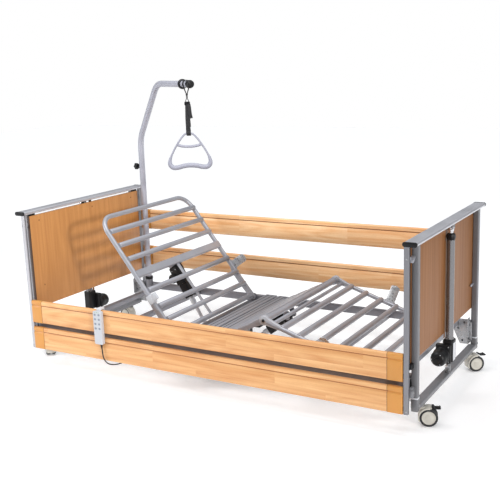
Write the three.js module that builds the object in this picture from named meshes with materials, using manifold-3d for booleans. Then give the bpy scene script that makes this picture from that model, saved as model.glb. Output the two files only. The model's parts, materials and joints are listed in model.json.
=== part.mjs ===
// Adjustable home-care bed: two telescopic end units on castors, a sectioned lying surface,
// two wooden side rails with two boards each, a lifting pole and a handset.
// Millimetres, +Z up, floor at z = 0. +X runs from the head end to the foot end.
// -Y is the near long side (rail lowered, handset), +Y the far long side (rail raised).
import * as THREE from 'three';
import { mergeVertices } from 'three/addons/utils/BufferGeometryUtils.js';
import Module from 'manifold-3d';

const wasm = await Module();
wasm.setup();

// ---------- driving dimensions ----------
const GAP = 0.3;                 // gap between separate touching pieces
const RAIL_X = 1058.5;           // centre of the flat top rail of an end unit
const RAIL_WIDTH = 61;
const RAIL_HALF_LENGTH = 501;
const RAIL_TOP = 831;
const RAIL_BOTTOM = 813;
const RAIL_ROUNDING = 8.8;
const GUIDE = { x0: 1033, x1: 1053, y0: 481, y1: 501, z0: 95 };
const POST = { x: 1063, y: 439, size: 28, wall: 2.4, z0: 157 };
const LEG_SIZE = 22;             // inner leg that slides in the post
const LEG_TOP = 700;
const BASE_TUBE = { x0: 1038, x1: 1078, z0: 97, z1: 117 };
const FOOT_BLOCK = { size: 30, z0: 94, z1: 150 };
const PANEL = { x0: 1033, x1: 1049, halfWidth: 460, z0: 306, z1: 803 };

const BOARD_LENGTH = 2060;
const BOARD_HEIGHT = 120;
const BOARD_THICKNESS = 22;
const BOARD_OUTER_Y = 505;
const BOARD_Z = { nearLower: 97, nearUpper: 241, farLower: 336, farUpper: 565 };

const DECK = { halfLength: 1048.5, y0: 435, y1: 455, z0: 197, z1: 237 };
const SEAT_TOP = 247;
const LUG = { y0: 399, y1: 407 };

const BACK = { x: -195, z: 240, angle: 52.4, length: 707, y: 385, tube: 24 };
const BACK_SLATS = [10, 91, 169, 264, 452, 536, 620];
const BACK_BAR = 362;
const THIGH = { x: 15, z: 238, angle: 26, length: 342, y: 376 };
const LEG_ANGLE = -18.3;         // absolute slope of the lower-leg section
const LEG_LENGTH = 600;
const LEG_Y = 397;
const LEG_SLATS = [96, 184, 272, 360, 448, 530];

const BACK_LINK = { top: [-453.9, 497.5], foot: [-240, 125] };
const THIGH_LINK = { top: [249.9, 290.2], foot: [0, 110] };

const LIFT = { x: 1071, tubeRadius: 17.5, boreRadius: 10.6, rodRadius: 10 };
const MOTOR = { x: 1048, z: 208, radius: 33, y0: -112, y1: -30 };
const LIFT_TUBE_TOP = 772;
const LIFT_COLLAR = { radius: 21.5, height: 30, sides: 8 };

const CASTOR = { x: 1063, y: 358, radius: 40, trail: 30, top: 96.7 };
const CASTOR_ANGLES = { foot_near: 20, foot_far: 40, head_near: 142, head_far: 172 };

const POLE = { x: -965, y: 437, radius: 17, bottom: 201, arm: -30 };
const POLE_BEND = { low: 1122, reach: 291, high: 1448, end: 714 };
const HOOK_REACH = 671;
const HANDLE = { top: 1196, angle: 30 };

const HANDSET = { x: -568, width: 52, front: -527, back: -505.6, z0: 186, z1: 360 };

// ---------- materials ----------
const material = (color, roughness, metalness) =>
  new THREE.MeshStandardMaterial({ color, roughness, metalness });
const SILVER = material(0x9c9da6, 0.42, 0.35);
const ALUMINIUM = material(0xb9bac2, 0.32, 0.8);
const ZINC = material(0xb4b6b8, 0.38, 0.9);
const LAMINATE = material(0xb9803f, 0.5, 0.0);
const BEECH = material(0xf0c58a, 0.45, 0.0);
const BLACK = material(0x17171a, 0.5, 0.0);
const BEIGE = material(0xcfc9bd, 0.45, 0.0);
const LIGHT_GREY = material(0xc3c5c9, 0.45, 0.0);
const OFF_WHITE = material(0xe2e3e4, 0.4, 0.0);

// ---------- solids ----------
const bed = new THREE.Group();
bed.name = 'bed';

const rad = THREE.MathUtils.degToRad;
const vec = (x, y, z) => new THREE.Vector3(x, y, z);

function solid(geometry) {
  const plain = geometry.clone();
  plain.deleteAttribute('normal');
  plain.deleteAttribute('uv');
  const merged = mergeVertices(plain, 1e-4);
  return new wasm.Manifold(new wasm.Mesh({
    numProp: 3,
    vertProperties: new Float32Array(merged.attributes.position.array),
    triVerts: new Uint32Array(merged.index.array),
  }));
}

function join(...pieces) {
  return pieces.map(piece => (piece.isBufferGeometry ? solid(piece) : piece))
    .reduce((sum, piece) => sum.add(piece));
}

function cut(body, ...tools) {
  const start = body.isBufferGeometry ? solid(body) : body;
  return tools.reduce((sum, tool) => sum.subtract(tool.isBufferGeometry ? solid(tool) : tool), start);
}

function geometryOf(manifold) {
  const mesh = manifold.getMesh();
  const geometry = new THREE.BufferGeometry();
  const points = new Float32Array(mesh.numVert * 3);
  for (let i = 0; i < mesh.numVert; i += 1) {
    for (let k = 0; k < 3; k += 1) {
      points[i * 3 + k] = mesh.vertProperties[i * mesh.numProp + k];
    }
  }
  geometry.setAttribute('position', new THREE.BufferAttribute(points, 3));
  geometry.setIndex(new THREE.BufferAttribute(new Uint32Array(mesh.triVerts), 1));
  geometry.computeVertexNormals();
  return geometry;
}

function place(name, shape, look, parent = bed) {
  const geometry = shape.isBufferGeometry ? shape : geometryOf(shape);
  const mesh = new THREE.Mesh(geometry, look);
  mesh.name = name;
  parent.add(mesh);
  return mesh;
}

function box(x0, x1, y0, y1, z0, z1) {
  const geometry = new THREE.BoxGeometry(x1 - x0, y1 - y0, z1 - z0);
  return geometry.translate((x0 + x1) / 2, (y0 + y1) / 2, (z0 + z1) / 2);
}

function rod(start, end, radius, sides = 12) {
  const axis = end.clone().sub(start);
  const geometry = new THREE.CylinderGeometry(radius, radius, axis.length(), sides);
  geometry.applyQuaternion(new THREE.Quaternion().setFromUnitVectors(vec(0, 1, 0), axis.normalize()));
  const middle = start.clone().add(end).multiplyScalar(0.5);
  return geometry.translate(middle.x, middle.y, middle.z);
}

function outline(points) {
  return new THREE.Shape(points.map(([a, b]) => new THREE.Vector2(a, b)));
}

// A flat outline pushed along one axis. The two outline coordinates are (y, z), (x, z) or (x, y).
function prismX(points, x0, x1) {
  const geometry = new THREE.ExtrudeGeometry(outline(points), { depth: x1 - x0, bevelEnabled: false });
  geometry.applyMatrix4(new THREE.Matrix4().makeBasis(vec(0, 1, 0), vec(0, 0, 1), vec(1, 0, 0)));
  return geometry.translate(x0, 0, 0);
}

function prismY(points, y0, y1) {
  const geometry = new THREE.ExtrudeGeometry(outline(points), { depth: y1 - y0, bevelEnabled: false });
  geometry.applyMatrix4(new THREE.Matrix4().makeBasis(vec(1, 0, 0), vec(0, 0, 1), vec(0, -1, 0)));
  return geometry.translate(0, y1, 0);
}

function prismZ(points, z0, z1) {
  const geometry = new THREE.ExtrudeGeometry(outline(points), { depth: z1 - z0, bevelEnabled: false });
  return geometry.translate(0, 0, z0);
}

function roundedRect(cx, cy, width, height, radius, steps = 3) {
  const points = [];
  const corners = [[1, 1, 0], [-1, 1, 90], [-1, -1, 180], [1, -1, 270]];
  for (const [sx, sy, turn] of corners) {
    for (let i = 0; i <= steps; i += 1) {
      const angle = rad(turn + (90 * i) / steps);
      points.push([
        cx + sx * (width / 2 - radius) + radius * Math.cos(angle),
        cy + sy * (height / 2 - radius) + radius * Math.sin(angle),
      ]);
    }
  }
  return points;
}

function sweep(path, radius, steps, sides) {
  const ring = [];
  for (let i = 0; i < sides; i += 1) {
    const angle = (2 * Math.PI * i) / sides;
    ring.push([radius * Math.cos(angle), radius * Math.sin(angle)]);
  }
  return new THREE.ExtrudeGeometry(outline(ring), { steps, extrudePath: path });
}

// A path of straight runs with rounded corners through the given points.
function bentPath(points, bend) {
  const path = new THREE.CurvePath();
  let from = points[0];
  for (let i = 1; i < points.length - 1; i += 1) {
    const corner = points[i];
    const before = corner.clone().add(points[i - 1].clone().sub(corner).setLength(bend));
    const after = corner.clone().add(points[i + 1].clone().sub(corner).setLength(bend));
    path.add(new THREE.LineCurve3(from, before));
    path.add(new THREE.QuadraticBezierCurve3(before, corner, after));
    from = after;
  }
  path.add(new THREE.LineCurve3(from, points[points.length - 1]));
  return path;
}

// ---------- end units: rail, panel, posts, guides, base ----------
const footUnit = new THREE.Group();
const headUnit = new THREE.Group();
headUnit.rotation.z = Math.PI;
bed.add(footUnit, headUnit);

// Side names of an end unit after its turn: the head unit is the foot unit turned half round.
function sideName(unit, sign) {
  if (unit === 'foot') return sign < 0 ? 'near' : 'far';
  return sign < 0 ? 'far' : 'near';
}

function buildEndUnit(unit, group) {
  const railProfile = roundedRect(RAIL_X, (RAIL_TOP + RAIL_BOTTOM) / 2, RAIL_WIDTH,
    RAIL_TOP - RAIL_BOTTOM, RAIL_ROUNDING, 5);
  place(`${unit}_top_rail`, prismY(railProfile, -RAIL_HALF_LENGTH, RAIL_HALF_LENGTH), ALUMINIUM, group);

  place(`${unit}_panel`, box(PANEL.x0, PANEL.x1 - GAP, -PANEL.halfWidth, PANEL.halfWidth,
    PANEL.z0, PANEL.z1), LAMINATE, group);

  for (const sign of [-1, 1]) {
    const side = sideName(unit, sign);
    const outer = roundedRect(POST.x, sign * POST.y, POST.size, POST.size, 4);
    const bore = roundedRect(POST.x, sign * POST.y, POST.size - 2 * POST.wall,
      POST.size - 2 * POST.wall, 2);
    const linkY = [sign * (POST.y + 10), sign * (GUIDE.y0 - GAP)].sort((a, b) => a - b);
    const post = cut(
      join(
        prismZ(outer, POST.z0, RAIL_BOTTOM - GAP),
        box(1054, 1062, linkY[0], linkY[1], 738, 771),
        box(1054, 1062, linkY[0], linkY[1], 289, 312),
        box(1054, 1062, linkY[0], linkY[1], 166, 209),
      ),
      prismZ(bore, POST.z0 - 5, RAIL_BOTTOM - 12),
    );
    place(`${unit}_post_${side}`, post, SILVER, group);

    const guideY = [sign * GUIDE.y0, sign * GUIDE.y1].sort((a, b) => a - b);
    const guide = prismZ(roundedRect((GUIDE.x0 + GUIDE.x1) / 2, (guideY[0] + guideY[1]) / 2,
      GUIDE.x1 - GUIDE.x0, GUIDE.y1 - GUIDE.y0, 3), GUIDE.z0, RAIL_BOTTOM - GAP);
    place(`${unit}_guide_${side}`, guide, ALUMINIUM, group);
  }
}

function buildBase(unit, group) {
  const pieces = [
    box(BASE_TUBE.x0, BASE_TUBE.x1, -POST.y, POST.y, BASE_TUBE.z0, BASE_TUBE.z1),
    box(1054, 1076, -14, -8.3, 110, 158),
    box(1054, 1076, 8.3, 14, 110, 158),
  ];
  for (const sign of [-1, 1]) {
    pieces.push(prismZ(roundedRect(POST.x, sign * POST.y, FOOT_BLOCK.size, FOOT_BLOCK.size, 5),
      FOOT_BLOCK.z0, FOOT_BLOCK.z1));
    pieces.push(prismZ(roundedRect(POST.x, sign * POST.y, LEG_SIZE, LEG_SIZE, 2),
      FOOT_BLOCK.z1 - 5, LEG_TOP));
  }
  place(`${unit}_base`, join(...pieces), SILVER, group);

  // Lift column drive: the gear housing stands on a clevis, with a cross-wise motor beside it.
  const drive = join(
    prismZ(roundedRect(LIFT.x, 0, 50, 50, 18), 175, 280),
    box(1019, 1090, -46, -20, 172, 262),
    rod(vec(MOTOR.x, MOTOR.y0, MOTOR.z), vec(MOTOR.x, MOTOR.y1, MOTOR.z), MOTOR.radius, 20),
    box(1057, 1071, -8, 8, 132, 180),
    rod(vec(LIFT.x, 0, 270), vec(LIFT.x, 0, LIFT_TUBE_TOP), LIFT.tubeRadius, 16),
    rod(vec(LIFT.x, 0, LIFT_TUBE_TOP - LIFT_COLLAR.height), vec(LIFT.x, 0, LIFT_TUBE_TOP),
      LIFT_COLLAR.radius, LIFT_COLLAR.sides),
  );
  const bore = rod(vec(LIFT.x, 0, 296), vec(LIFT.x, 0, LIFT_TUBE_TOP + 5), LIFT.boreRadius, 16);
  place(`${unit}_lift_drive`, cut(drive, bore), BLACK, group);

  // The push rod hangs from an eye bracket under the top rail and runs inside the tube.
  const push = join(
    rod(vec(LIFT.x, 0, 300), vec(LIFT.x, 0, 800), LIFT.rodRadius, 12),
    box(LIFT.x - 19, LIFT.x + 14, -13, 13, 790, RAIL_BOTTOM - GAP),
  );
  place(`${unit}_lift_rod`, push, ZINC, group);
}

for (const [unit, group] of [['foot', footUnit], ['head', headUnit]]) {
  buildEndUnit(unit, group);
  buildBase(unit, group);
}

// ---------- castors: twin wheels under a hood, with a brake pedal ----------
// Local frame: swivel axis at the origin, +x the trailing direction, y along the axle.
const WHEEL_WIDTH = 16;
const WHEEL_IN = 8;
const HOOD_WIDTH = 50;

function hoodOutline(inner, outer, from, to, steps) {
  const points = [];
  for (let i = 0; i <= steps; i += 1) {
    const angle = rad(from + ((to - from) * i) / steps);
    points.push([CASTOR.trail + outer * Math.cos(angle), CASTOR.radius + outer * Math.sin(angle)]);
  }
  for (let i = steps; i >= 0; i -= 1) {
    const angle = rad(from + ((to - from) * i) / steps);
    points.push([CASTOR.trail + inner * Math.cos(angle), CASTOR.radius + inner * Math.sin(angle)]);
  }
  return points;
}

function castorHousing() {
  const hood = prismY(hoodOutline(42, 46, 78, 208, 9), -HOOD_WIDTH / 2, HOOD_WIDTH / 2);
  const web = prismY(hoodOutline(0.01, 43, 70, 215, 9).slice(0, 10).concat([[CASTOR.trail, 30]]),
    -6.5, 6.5);
  const hub = rod(vec(CASTOR.trail, -6.5, CASTOR.radius), vec(CASTOR.trail, 6.5, CASTOR.radius), 13, 14);
  const stem = rod(vec(0, 0, 66), vec(0, 0, CASTOR.top), 14, 14);
  const axle = rod(vec(CASTOR.trail, -20, CASTOR.radius), vec(CASTOR.trail, 20, CASTOR.radius), 6, 14);
  const wheelRoom = [-1, 1].map(side => rod(
    vec(CASTOR.trail, side * 6.6, CASTOR.radius),
    vec(CASTOR.trail, side * 30, CASTOR.radius), 41.6, 16));
  return cut(cut(join(hood, web, hub, stem), ...wheelRoom), axle);
}

function castorWheels() {
  const inner = WHEEL_IN;
  const outer = WHEEL_IN + WHEEL_WIDTH;
  const r = CASTOR.radius;
  const half = [
    [r - 2, inner], [r, inner + 3], [r, outer - 3], [r - 2, outer],
    [r - 8, outer], [r - 10, outer - 2], [12, outer - 2], [9, outer + 1],
  ];
  const profile = [new THREE.Vector2(0, -(outer + 1))];
  for (const [radius, along] of [...half].reverse()) profile.push(new THREE.Vector2(radius, -along));
  profile.push(new THREE.Vector2(5, -inner), new THREE.Vector2(5, inner));
  for (const [radius, along] of half) profile.push(new THREE.Vector2(radius, along));
  profile.push(new THREE.Vector2(0, outer + 1));
  const geometry = new THREE.LatheGeometry(profile, 18);
  return geometry.translate(CASTOR.trail, 0, CASTOR.radius);
}

function brakePedal() {
  const points = [[42, 82.6], [52, 81.5], [66, 77], [76, 72], [78, 75], [68, 83], [54, 87.5], [42, 89]];
  return prismY(points, -17, 17);
}

for (const [station, angle] of Object.entries(CASTOR_ANGLES)) {
  const [unit, side] = station.split('_');
  const castor = new THREE.Group();
  castor.position.set(unit === 'foot' ? CASTOR.x : -CASTOR.x, side === 'far' ? CASTOR.y : -CASTOR.y, 0);
  castor.rotation.z = rad(angle);
  bed.add(castor);
  place(`${unit}_castor_${side}`, castorHousing(), BEIGE, castor);
  place(`${unit}_wheels_${side}`, castorWheels(), BEIGE, castor);
  place(`${unit}_brake_pedal_${side}`, brakePedal(), BLACK, castor);
}

// ---------- deck frame ----------
function deckFrame() {
  const pieces = [];
  for (const sign of [-1, 1]) {
    const [a, b] = [sign * DECK.y0, sign * DECK.y1].sort((p, q) => p - q);
    pieces.push(box(-DECK.halfLength, DECK.halfLength, a, b, DECK.z0, DECK.z1));
    const [c, d] = [sign * LUG.y0, sign * LUG.y1].sort((p, q) => p - q);
    pieces.push(box(-214, 32, c, d, 216, 253));
  }
  for (const x of [-600, -200, 0, 600]) {
    pieces.push(box(x - 15, x + 15, -DECK.y0 - 5, DECK.y0 + 5, 197, 222));
  }
  pieces.push(box(-915, -885, -DECK.y0 - 5, DECK.y0 + 5, 197, 222));
  pieces.push(box(971, 989, -DECK.y0 - 5, DECK.y0 + 5, 213, DECK.z1));
  pieces.push(box(-135, -65, -DECK.y0 - 5, DECK.y0 + 5, 233, SEAT_TOP));
  pieces.push(box(-53, 9, -DECK.y0 - 5, DECK.y0 + 5, 233, SEAT_TOP));
  for (const [x0, x1, z] of [[-254, -190, BACK_LINK.foot[1]], [-15, 15, THIGH_LINK.foot[1]]]) {
    for (const sign of [-1, 1]) {
      const [a, b] = [sign * 13, sign * 18].sort((p, q) => p - q);
      pieces.push(box(x0, x1, a, b, z - 18, 205));
    }
  }
  const socket = rod(vec(POLE.x, POLE.y, 190), vec(POLE.x, POLE.y, 276), 23, 20);
  const bore = rod(vec(POLE.x, POLE.y, 200.4), vec(POLE.x, POLE.y, 290), POLE.radius + 0.7, 20);
  return cut(join(...pieces, socket), bore);
}
place('deck_frame', deckFrame(), SILVER);
place('control_box', box(-225, -25, 160, 290, 140, 196.5), BLACK);

// ---------- lying surface sections ----------
// A section frame is drawn flat: along +s from its hinge, t upwards, then turned into place.
function backFrame() {
  const end = BACK.length;
  const u = bentPath([
    vec(0, -BACK.y, 0), vec(end, -BACK.y, 0), vec(end, BACK.y, 0), vec(0, BACK.y, 0),
  ], 95);
  const pieces = [solid(sweep(u, BACK.tube / 2, 36, 10))];
  for (const s of BACK_SLATS) {
    pieces.push(rod(vec(s, -BACK.y + 3, 12), vec(s, BACK.y - 3, 12), 13.5, 12));
  }
  pieces.push(box(BACK_BAR - 20, BACK_BAR + 20, -BACK.y - 4, BACK.y + 4, 2, 20));
  pieces.push(box(4, BACK_BAR, 34, 52, 3, 9));
  for (const sign of [-1, 1]) {
    const [a, b] = [sign * 34, sign * 40].sort((p, q) => p - q);
    pieces.push(box(BACK_BAR - 16, BACK_BAR + 16, a, b, -60, 6));
  }
  return join(...pieces);
}

function thighFrame() {
  const pieces = [];
  for (const sign of [-1, 1]) {
    pieces.push(box(2, THIGH.length, sign * THIGH.y - 9, sign * THIGH.y + 9, -10, 10));
    pieces.push(rod(vec(THIGH.length, sign * (THIGH.y - 9), 0), vec(THIGH.length, sign * (THIGH.y + 9), 0),
      21, 16));
    const [a, b] = [sign * 34, sign * 40].sort((p, q) => p - q);
    pieces.push(box(218, 250, a, b, -70, 4));
  }
  pieces.push(rod(vec(THIGH.length, -THIGH.y, 0), vec(THIGH.length, THIGH.y, 0), 15, 14));
  for (const [from, to] of [[8, 78], [94, 162], [178, 262]]) {
    pieces.push(box(from, to, -THIGH.y - 8, THIGH.y + 8, 0, 12));
  }
  return join(...pieces);
}

function legFrame() {
  const u = bentPath([
    vec(0, -LEG_Y, 0), vec(LEG_LENGTH, -LEG_Y, 0), vec(LEG_LENGTH, LEG_Y, 0), vec(0, LEG_Y, 0),
  ], 90);
  const pieces = [solid(sweep(u, 11, 32, 10))];
  pieces.push(rod(vec(42, -LEG_Y, -4), vec(42, LEG_Y, -4), 10, 10));
  for (const s of LEG_SLATS) {
    pieces.push(rod(vec(s, -LEG_Y - 4, 2), vec(s, LEG_Y + 4, 2), 14, 10));
  }
  return join(...pieces);
}

// Turns a flat section drawing so that +s points along `direction` (degrees above +X).
function sectionGroup(x, z, direction, mirrored = false) {
  const group = new THREE.Group();
  const c = Math.cos(rad(direction));
  const s = Math.sin(rad(direction));
  const flip = mirrored ? -1 : 1;
  const along = vec(c, 0, s);
  const across = vec(0, flip, 0);
  const up = along.clone().cross(across);
  group.quaternion.setFromRotationMatrix(new THREE.Matrix4().makeBasis(along, across, up));
  group.position.set(x, 0, z);
  bed.add(group);
  return group;
}

const backGroup = sectionGroup(BACK.x, BACK.z, 180 - BACK.angle, true);
const thighGroup = sectionGroup(THIGH.x, THIGH.z, THIGH.angle);
const knee = [
  THIGH.x + THIGH.length * Math.cos(rad(THIGH.angle)),
  THIGH.z + THIGH.length * Math.sin(rad(THIGH.angle)),
];
const legGroup = sectionGroup(knee[0], knee[1], LEG_ANGLE);
place('back_frame', backFrame(), SILVER, backGroup);
place('thigh_frame', thighFrame(), SILVER, thighGroup);
place('leg_frame', legFrame(), SILVER, legGroup);

// Mattress retainers: bent sheet tabs on the side tubes.
function retainer(height) {
  const points = [[-38, 14], [38, 14], [38, 18], [34, height - 14], [20, height], [-20, height],
    [-34, height - 14], [-38, 18]];
  return prismY(points, -1.5, 1.5);
}
for (const [name, sign] of [['far', -1], ['near', 1]]) {
  const tab = retainer(84).translate(216, sign * (BACK.y + 14), 0);
  place(`back_retainer_${name}`, tab, ZINC, backGroup);
}
place('leg_retainer_far', retainer(92).translate(316, LEG_Y + 13, 0), ZINC, legGroup);

// ---------- section drives ----------
// Drawn along +s from the eye on the section to the fork on the deck frame.
function driveBody(bodyLength) {
  const body = join(
    box(14, bodyLength, -22, 22, -30, 30),
    box(30, 120, -30, 30, -30, 26),
    rod(vec(0, -12, 0), vec(0, 12, 0), 13, 16),
    box(0, 20, -12, 12, -10, 10),
    rod(vec(bodyLength - 5, 0, 0), vec(bodyLength + 40, 0, 0), 15, 16),
  );
  const bore = rod(vec(60, 0, 0), vec(bodyLength + 60, 0, 0), 10.6, 16);
  return cut(body, bore);
}

function driveRod(start, length) {
  return join(
    rod(vec(start, 0, 0), vec(length, 0, 0), 10, 12),
    rod(vec(length, -9, 0), vec(length, 9, 0), 13, 16),
  );
}

for (const [name, link, bodyLength] of [['back', BACK_LINK, 200], ['thigh', THIGH_LINK, 150]]) {
  const dx = link.foot[0] - link.top[0];
  const dz = link.foot[1] - link.top[1];
  const length = Math.hypot(dx, dz);
  const group = sectionGroup(link.top[0], link.top[1], THREE.MathUtils.radToDeg(Math.atan2(dz, dx)));
  place(`${name}_drive`, driveBody(bodyLength), BLACK, group);
  place(`${name}_drive_rod`, driveRod(bodyLength - 10, length), LIGHT_GREY, group);
}

// ---------- side rails ----------
function boardProfile(y0, z0) {
  const w = BOARD_THICKNESS;
  const h = BOARD_HEIGHT;
  const points = [
    [3, 0], [w - 3, 0], [w, 3], [w, h - 29], [w - 2.5, h - 27.5], [w - 2.5, h - 24.5], [w, h - 23],
    [w, h - 9], [w - 1.6, h - 4.5], [w - 5, h - 1.2], [w - 9, h], [9, h], [5, h - 1.2],
    [1.6, h - 4.5], [0, h - 9], [0, h - 23], [2.5, h - 24.5], [2.5, h - 27.5], [0, h - 29], [0, 3],
  ];
  return points.map(([y, z]) => [y0 + y, z0 + z]);
}

for (const [name, side, z] of [
  ['near_lower_board', 'near', BOARD_Z.nearLower], ['near_upper_board', 'near', BOARD_Z.nearUpper],
  ['far_lower_board', 'far', BOARD_Z.farLower], ['far_upper_board', 'far', BOARD_Z.farUpper],
]) {
  const y0 = side === 'near' ? -BOARD_OUTER_Y : BOARD_OUTER_Y - BOARD_THICKNESS;
  place(name, prismX(boardProfile(y0, z), -BOARD_LENGTH / 2, BOARD_LENGTH / 2), BEECH);
}

// ---------- lifting pole, strap and handle ----------
const armDir = vec(Math.cos(rad(POLE.arm)), Math.sin(rad(POLE.arm)), 0);
const onArm = (reach, z) => vec(POLE.x, POLE.y, z).add(armDir.clone().multiplyScalar(reach));

function liftingPole() {
  const path = bentPath([
    onArm(0, POLE.bottom), onArm(0, POLE_BEND.low), onArm(POLE_BEND.reach, POLE_BEND.high),
    onArm(POLE_BEND.end, POLE_BEND.high),
  ], 70);
  const ball = new THREE.SphereGeometry(22, 14, 8);
  const tip = onArm(POLE_BEND.end, POLE_BEND.high);
  ball.translate(tip.x, tip.y, tip.z);
  return join(
    solid(sweep(path, POLE.radius, 40, 14)),
    ball,
    rod(onArm(HOOK_REACH - 54, POLE_BEND.high), onArm(HOOK_REACH - 40, POLE_BEND.high), 27, 16),
  );
}
place('lifting_pole', liftingPole(), SILVER);

const knobFrom = vec(POLE.x - 17.6, POLE.y, 957);
const knob = join(
  rod(knobFrom, knobFrom.clone().add(vec(-14, 0, 0)), 6, 12),
  rod(knobFrom.clone().add(vec(-12, 0, 0)), knobFrom.clone().add(vec(-36, 0, 0)), 20, 10),
);
place('pole_knob', knob, BLACK);

const hook = onArm(HOOK_REACH, POLE_BEND.high);
const trapeze = new THREE.Group();
trapeze.position.set(hook.x, hook.y, 0);
trapeze.rotation.z = rad(HANDLE.angle);
bed.add(trapeze);
place('handle_strap', box(-10, 10, -3, 3, HANDLE.top + 14.5, POLE_BEND.high - POLE.radius - 1.5),
  BLACK, trapeze);

function handle() {
  const loop = new THREE.CatmullRomCurve3([
    vec(0, 0, HANDLE.top + 2), vec(34, 0, 1171), vec(68, 0, 1130), vec(104, 0, 1062),
    vec(112, 0, 1030), vec(92, 0, 1008), vec(48, 0, 1020), vec(0, 0, 1027), vec(-48, 0, 1020),
    vec(-92, 0, 1008), vec(-112, 0, 1030), vec(-104, 0, 1062), vec(-68, 0, 1130), vec(-34, 0, 1171),
  ], true, 'centripetal');
  const ring = new THREE.TubeGeometry(loop, 42, 11, 8, true);
  const bar = bentPath([vec(-66, 0, 1134), vec(0, 0, 1124), vec(66, 0, 1134)], 20);
  return join(ring, solid(sweep(bar, 6, 8, 6)));
}
place('trapeze_handle', handle(), LIGHT_GREY, trapeze);

// ---------- handset ----------
const BUTTON_ROWS = [342, 318, 294, 270];
const BUTTON_COLUMNS = [-12.5, 12.5];

function handsetBody() {
  const { x, width, front, back, z0, z1 } = HANDSET;
  const shell = prismY(roundedRect(x, (z0 + z1) / 2, width, z1 - z0, 9), front, back);
  const hookPath = [
    [back - 6, z1 - 24], [back - 6, 372], [-478, 372], [-478, 344], [-481.5, 344], [-481.5, 363],
    [back + 0.1, 363], [back + 0.1, z1 - 24],
  ];
  const clip = prismX(hookPath, x - 12, x + 12);
  const pockets = [];
  for (const row of BUTTON_ROWS) {
    for (const column of BUTTON_COLUMNS) {
      pockets.push(box(x + column - 8, x + column + 8, front - 5, front + 4.5, row - 7, row + 7));
    }
  }
  return cut(join(shell, clip), ...pockets);
}
place('handset', handsetBody(), OFF_WHITE);

BUTTON_ROWS.forEach((row, r) => {
  BUTTON_COLUMNS.forEach((column, c) => {
    const centre = HANDSET.x + column;
    const button = box(centre - 7.5, centre + 7.5, HANDSET.front - 1.2, HANDSET.front + 2.4,
      row - 6.5, row + 6.5);
    place(`handset_button_${r + 1}${c === 0 ? 'a' : 'b'}`, button, LIGHT_GREY);
  });
});

// Handset cord: hangs in front of the lower board, passes under it and rises to the control box.
const cordPath = new THREE.CatmullRomCurve3([
  vec(-560, -516, HANDSET.z0 - GAP), vec(-558, -516, 150), vec(-550, -517, 110), vec(-532, -508, 84),
  vec(-500, -480, 76), vec(-450, -410, 92), vec(-400, -280, 100), vec(-370, -120, 104),
  vec(-345, 60, 108), vec(-318, 160, 128), vec(-278, 214, 156), vec(-226.5, 225, 168),
], false, 'centripetal');
place('handset_cord', sweep(cordPath, 3.2, 56, 8), BLACK);

export default bed;
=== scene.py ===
"""Looks of the adjustable care bed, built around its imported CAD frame.

Metres, +Z up, floor at z = 0, +X from the head end to the foot end, -Y the near long side.
"""

import json
import math

import bmesh
import bpy
from mathutils import Matrix, Vector


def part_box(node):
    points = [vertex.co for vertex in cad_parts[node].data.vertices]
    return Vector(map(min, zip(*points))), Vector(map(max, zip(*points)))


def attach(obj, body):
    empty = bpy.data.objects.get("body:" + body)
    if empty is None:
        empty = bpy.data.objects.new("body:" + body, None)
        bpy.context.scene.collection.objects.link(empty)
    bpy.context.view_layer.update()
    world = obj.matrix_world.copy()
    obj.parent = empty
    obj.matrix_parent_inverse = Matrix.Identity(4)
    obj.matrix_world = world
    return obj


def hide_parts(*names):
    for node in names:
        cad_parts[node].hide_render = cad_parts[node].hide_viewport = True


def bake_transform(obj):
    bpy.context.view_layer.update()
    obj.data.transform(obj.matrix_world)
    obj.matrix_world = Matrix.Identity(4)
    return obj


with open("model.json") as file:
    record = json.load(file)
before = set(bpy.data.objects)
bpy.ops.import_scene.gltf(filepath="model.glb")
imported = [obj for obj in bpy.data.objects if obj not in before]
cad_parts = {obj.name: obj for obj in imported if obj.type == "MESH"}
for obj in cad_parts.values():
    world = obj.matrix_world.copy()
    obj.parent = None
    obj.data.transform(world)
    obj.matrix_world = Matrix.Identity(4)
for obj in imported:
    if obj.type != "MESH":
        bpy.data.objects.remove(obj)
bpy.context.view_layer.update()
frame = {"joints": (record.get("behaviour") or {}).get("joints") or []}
JOINTS = {joint["name"]: joint for joint in frame["joints"]}

# ---------- driving dimensions ----------
CAMERA = {"azimuth": 30.59, "elevation": 12.57, "roll": -2.13, "distance": 4.363,
          "target": (0.0262, 0.0, 0.612), "lens": 61.48}
DOME = {"horizon": 0.23, "rise": 1.1}
SUN = {"power": 1.55, "angle": math.radians(4.5), "from": (0.885, -0.41, 0.215), "colour": (1.0, 0.98, 0.95)}
FLOOR = {"half": 14.0, "colour": (0.97, 0.97, 0.97), "glow": 0.19}
UNITS = ("foot", "head")
POST_Y = 0.439
POST_SIZE = 0.028
BACK_ANGLE = math.radians(52.4)
THIGH_ANGLE = math.radians(26.0)
LEG_ANGLE = math.radians(-18.3)
BACK = {"length": 0.707, "y": 0.385, "tube": 0.012, "slats": (0.01, 0.091, 0.169, 0.264, 0.452, 0.536, 0.62)}
BACK_BAR = 0.362
THIGH = {"length": 0.342, "y": 0.376}
DRIVE_EAR_Y = (0.0342, 0.0392)
LEG = {"length": 0.6, "y": 0.397, "tube": 0.011, "slats": (0.096, 0.184, 0.272, 0.36, 0.448, 0.53)}
DECK = {"inside": 0.435, "outside": 0.455, "bottom": 0.197, "top": 0.237, "cross_top": 0.222}
DECK_CROSS_X = (-0.9, -0.6, -0.2, 0.0, 0.6)
HINGES = ((-0.195, 0.24), (0.015, 0.238))
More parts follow.
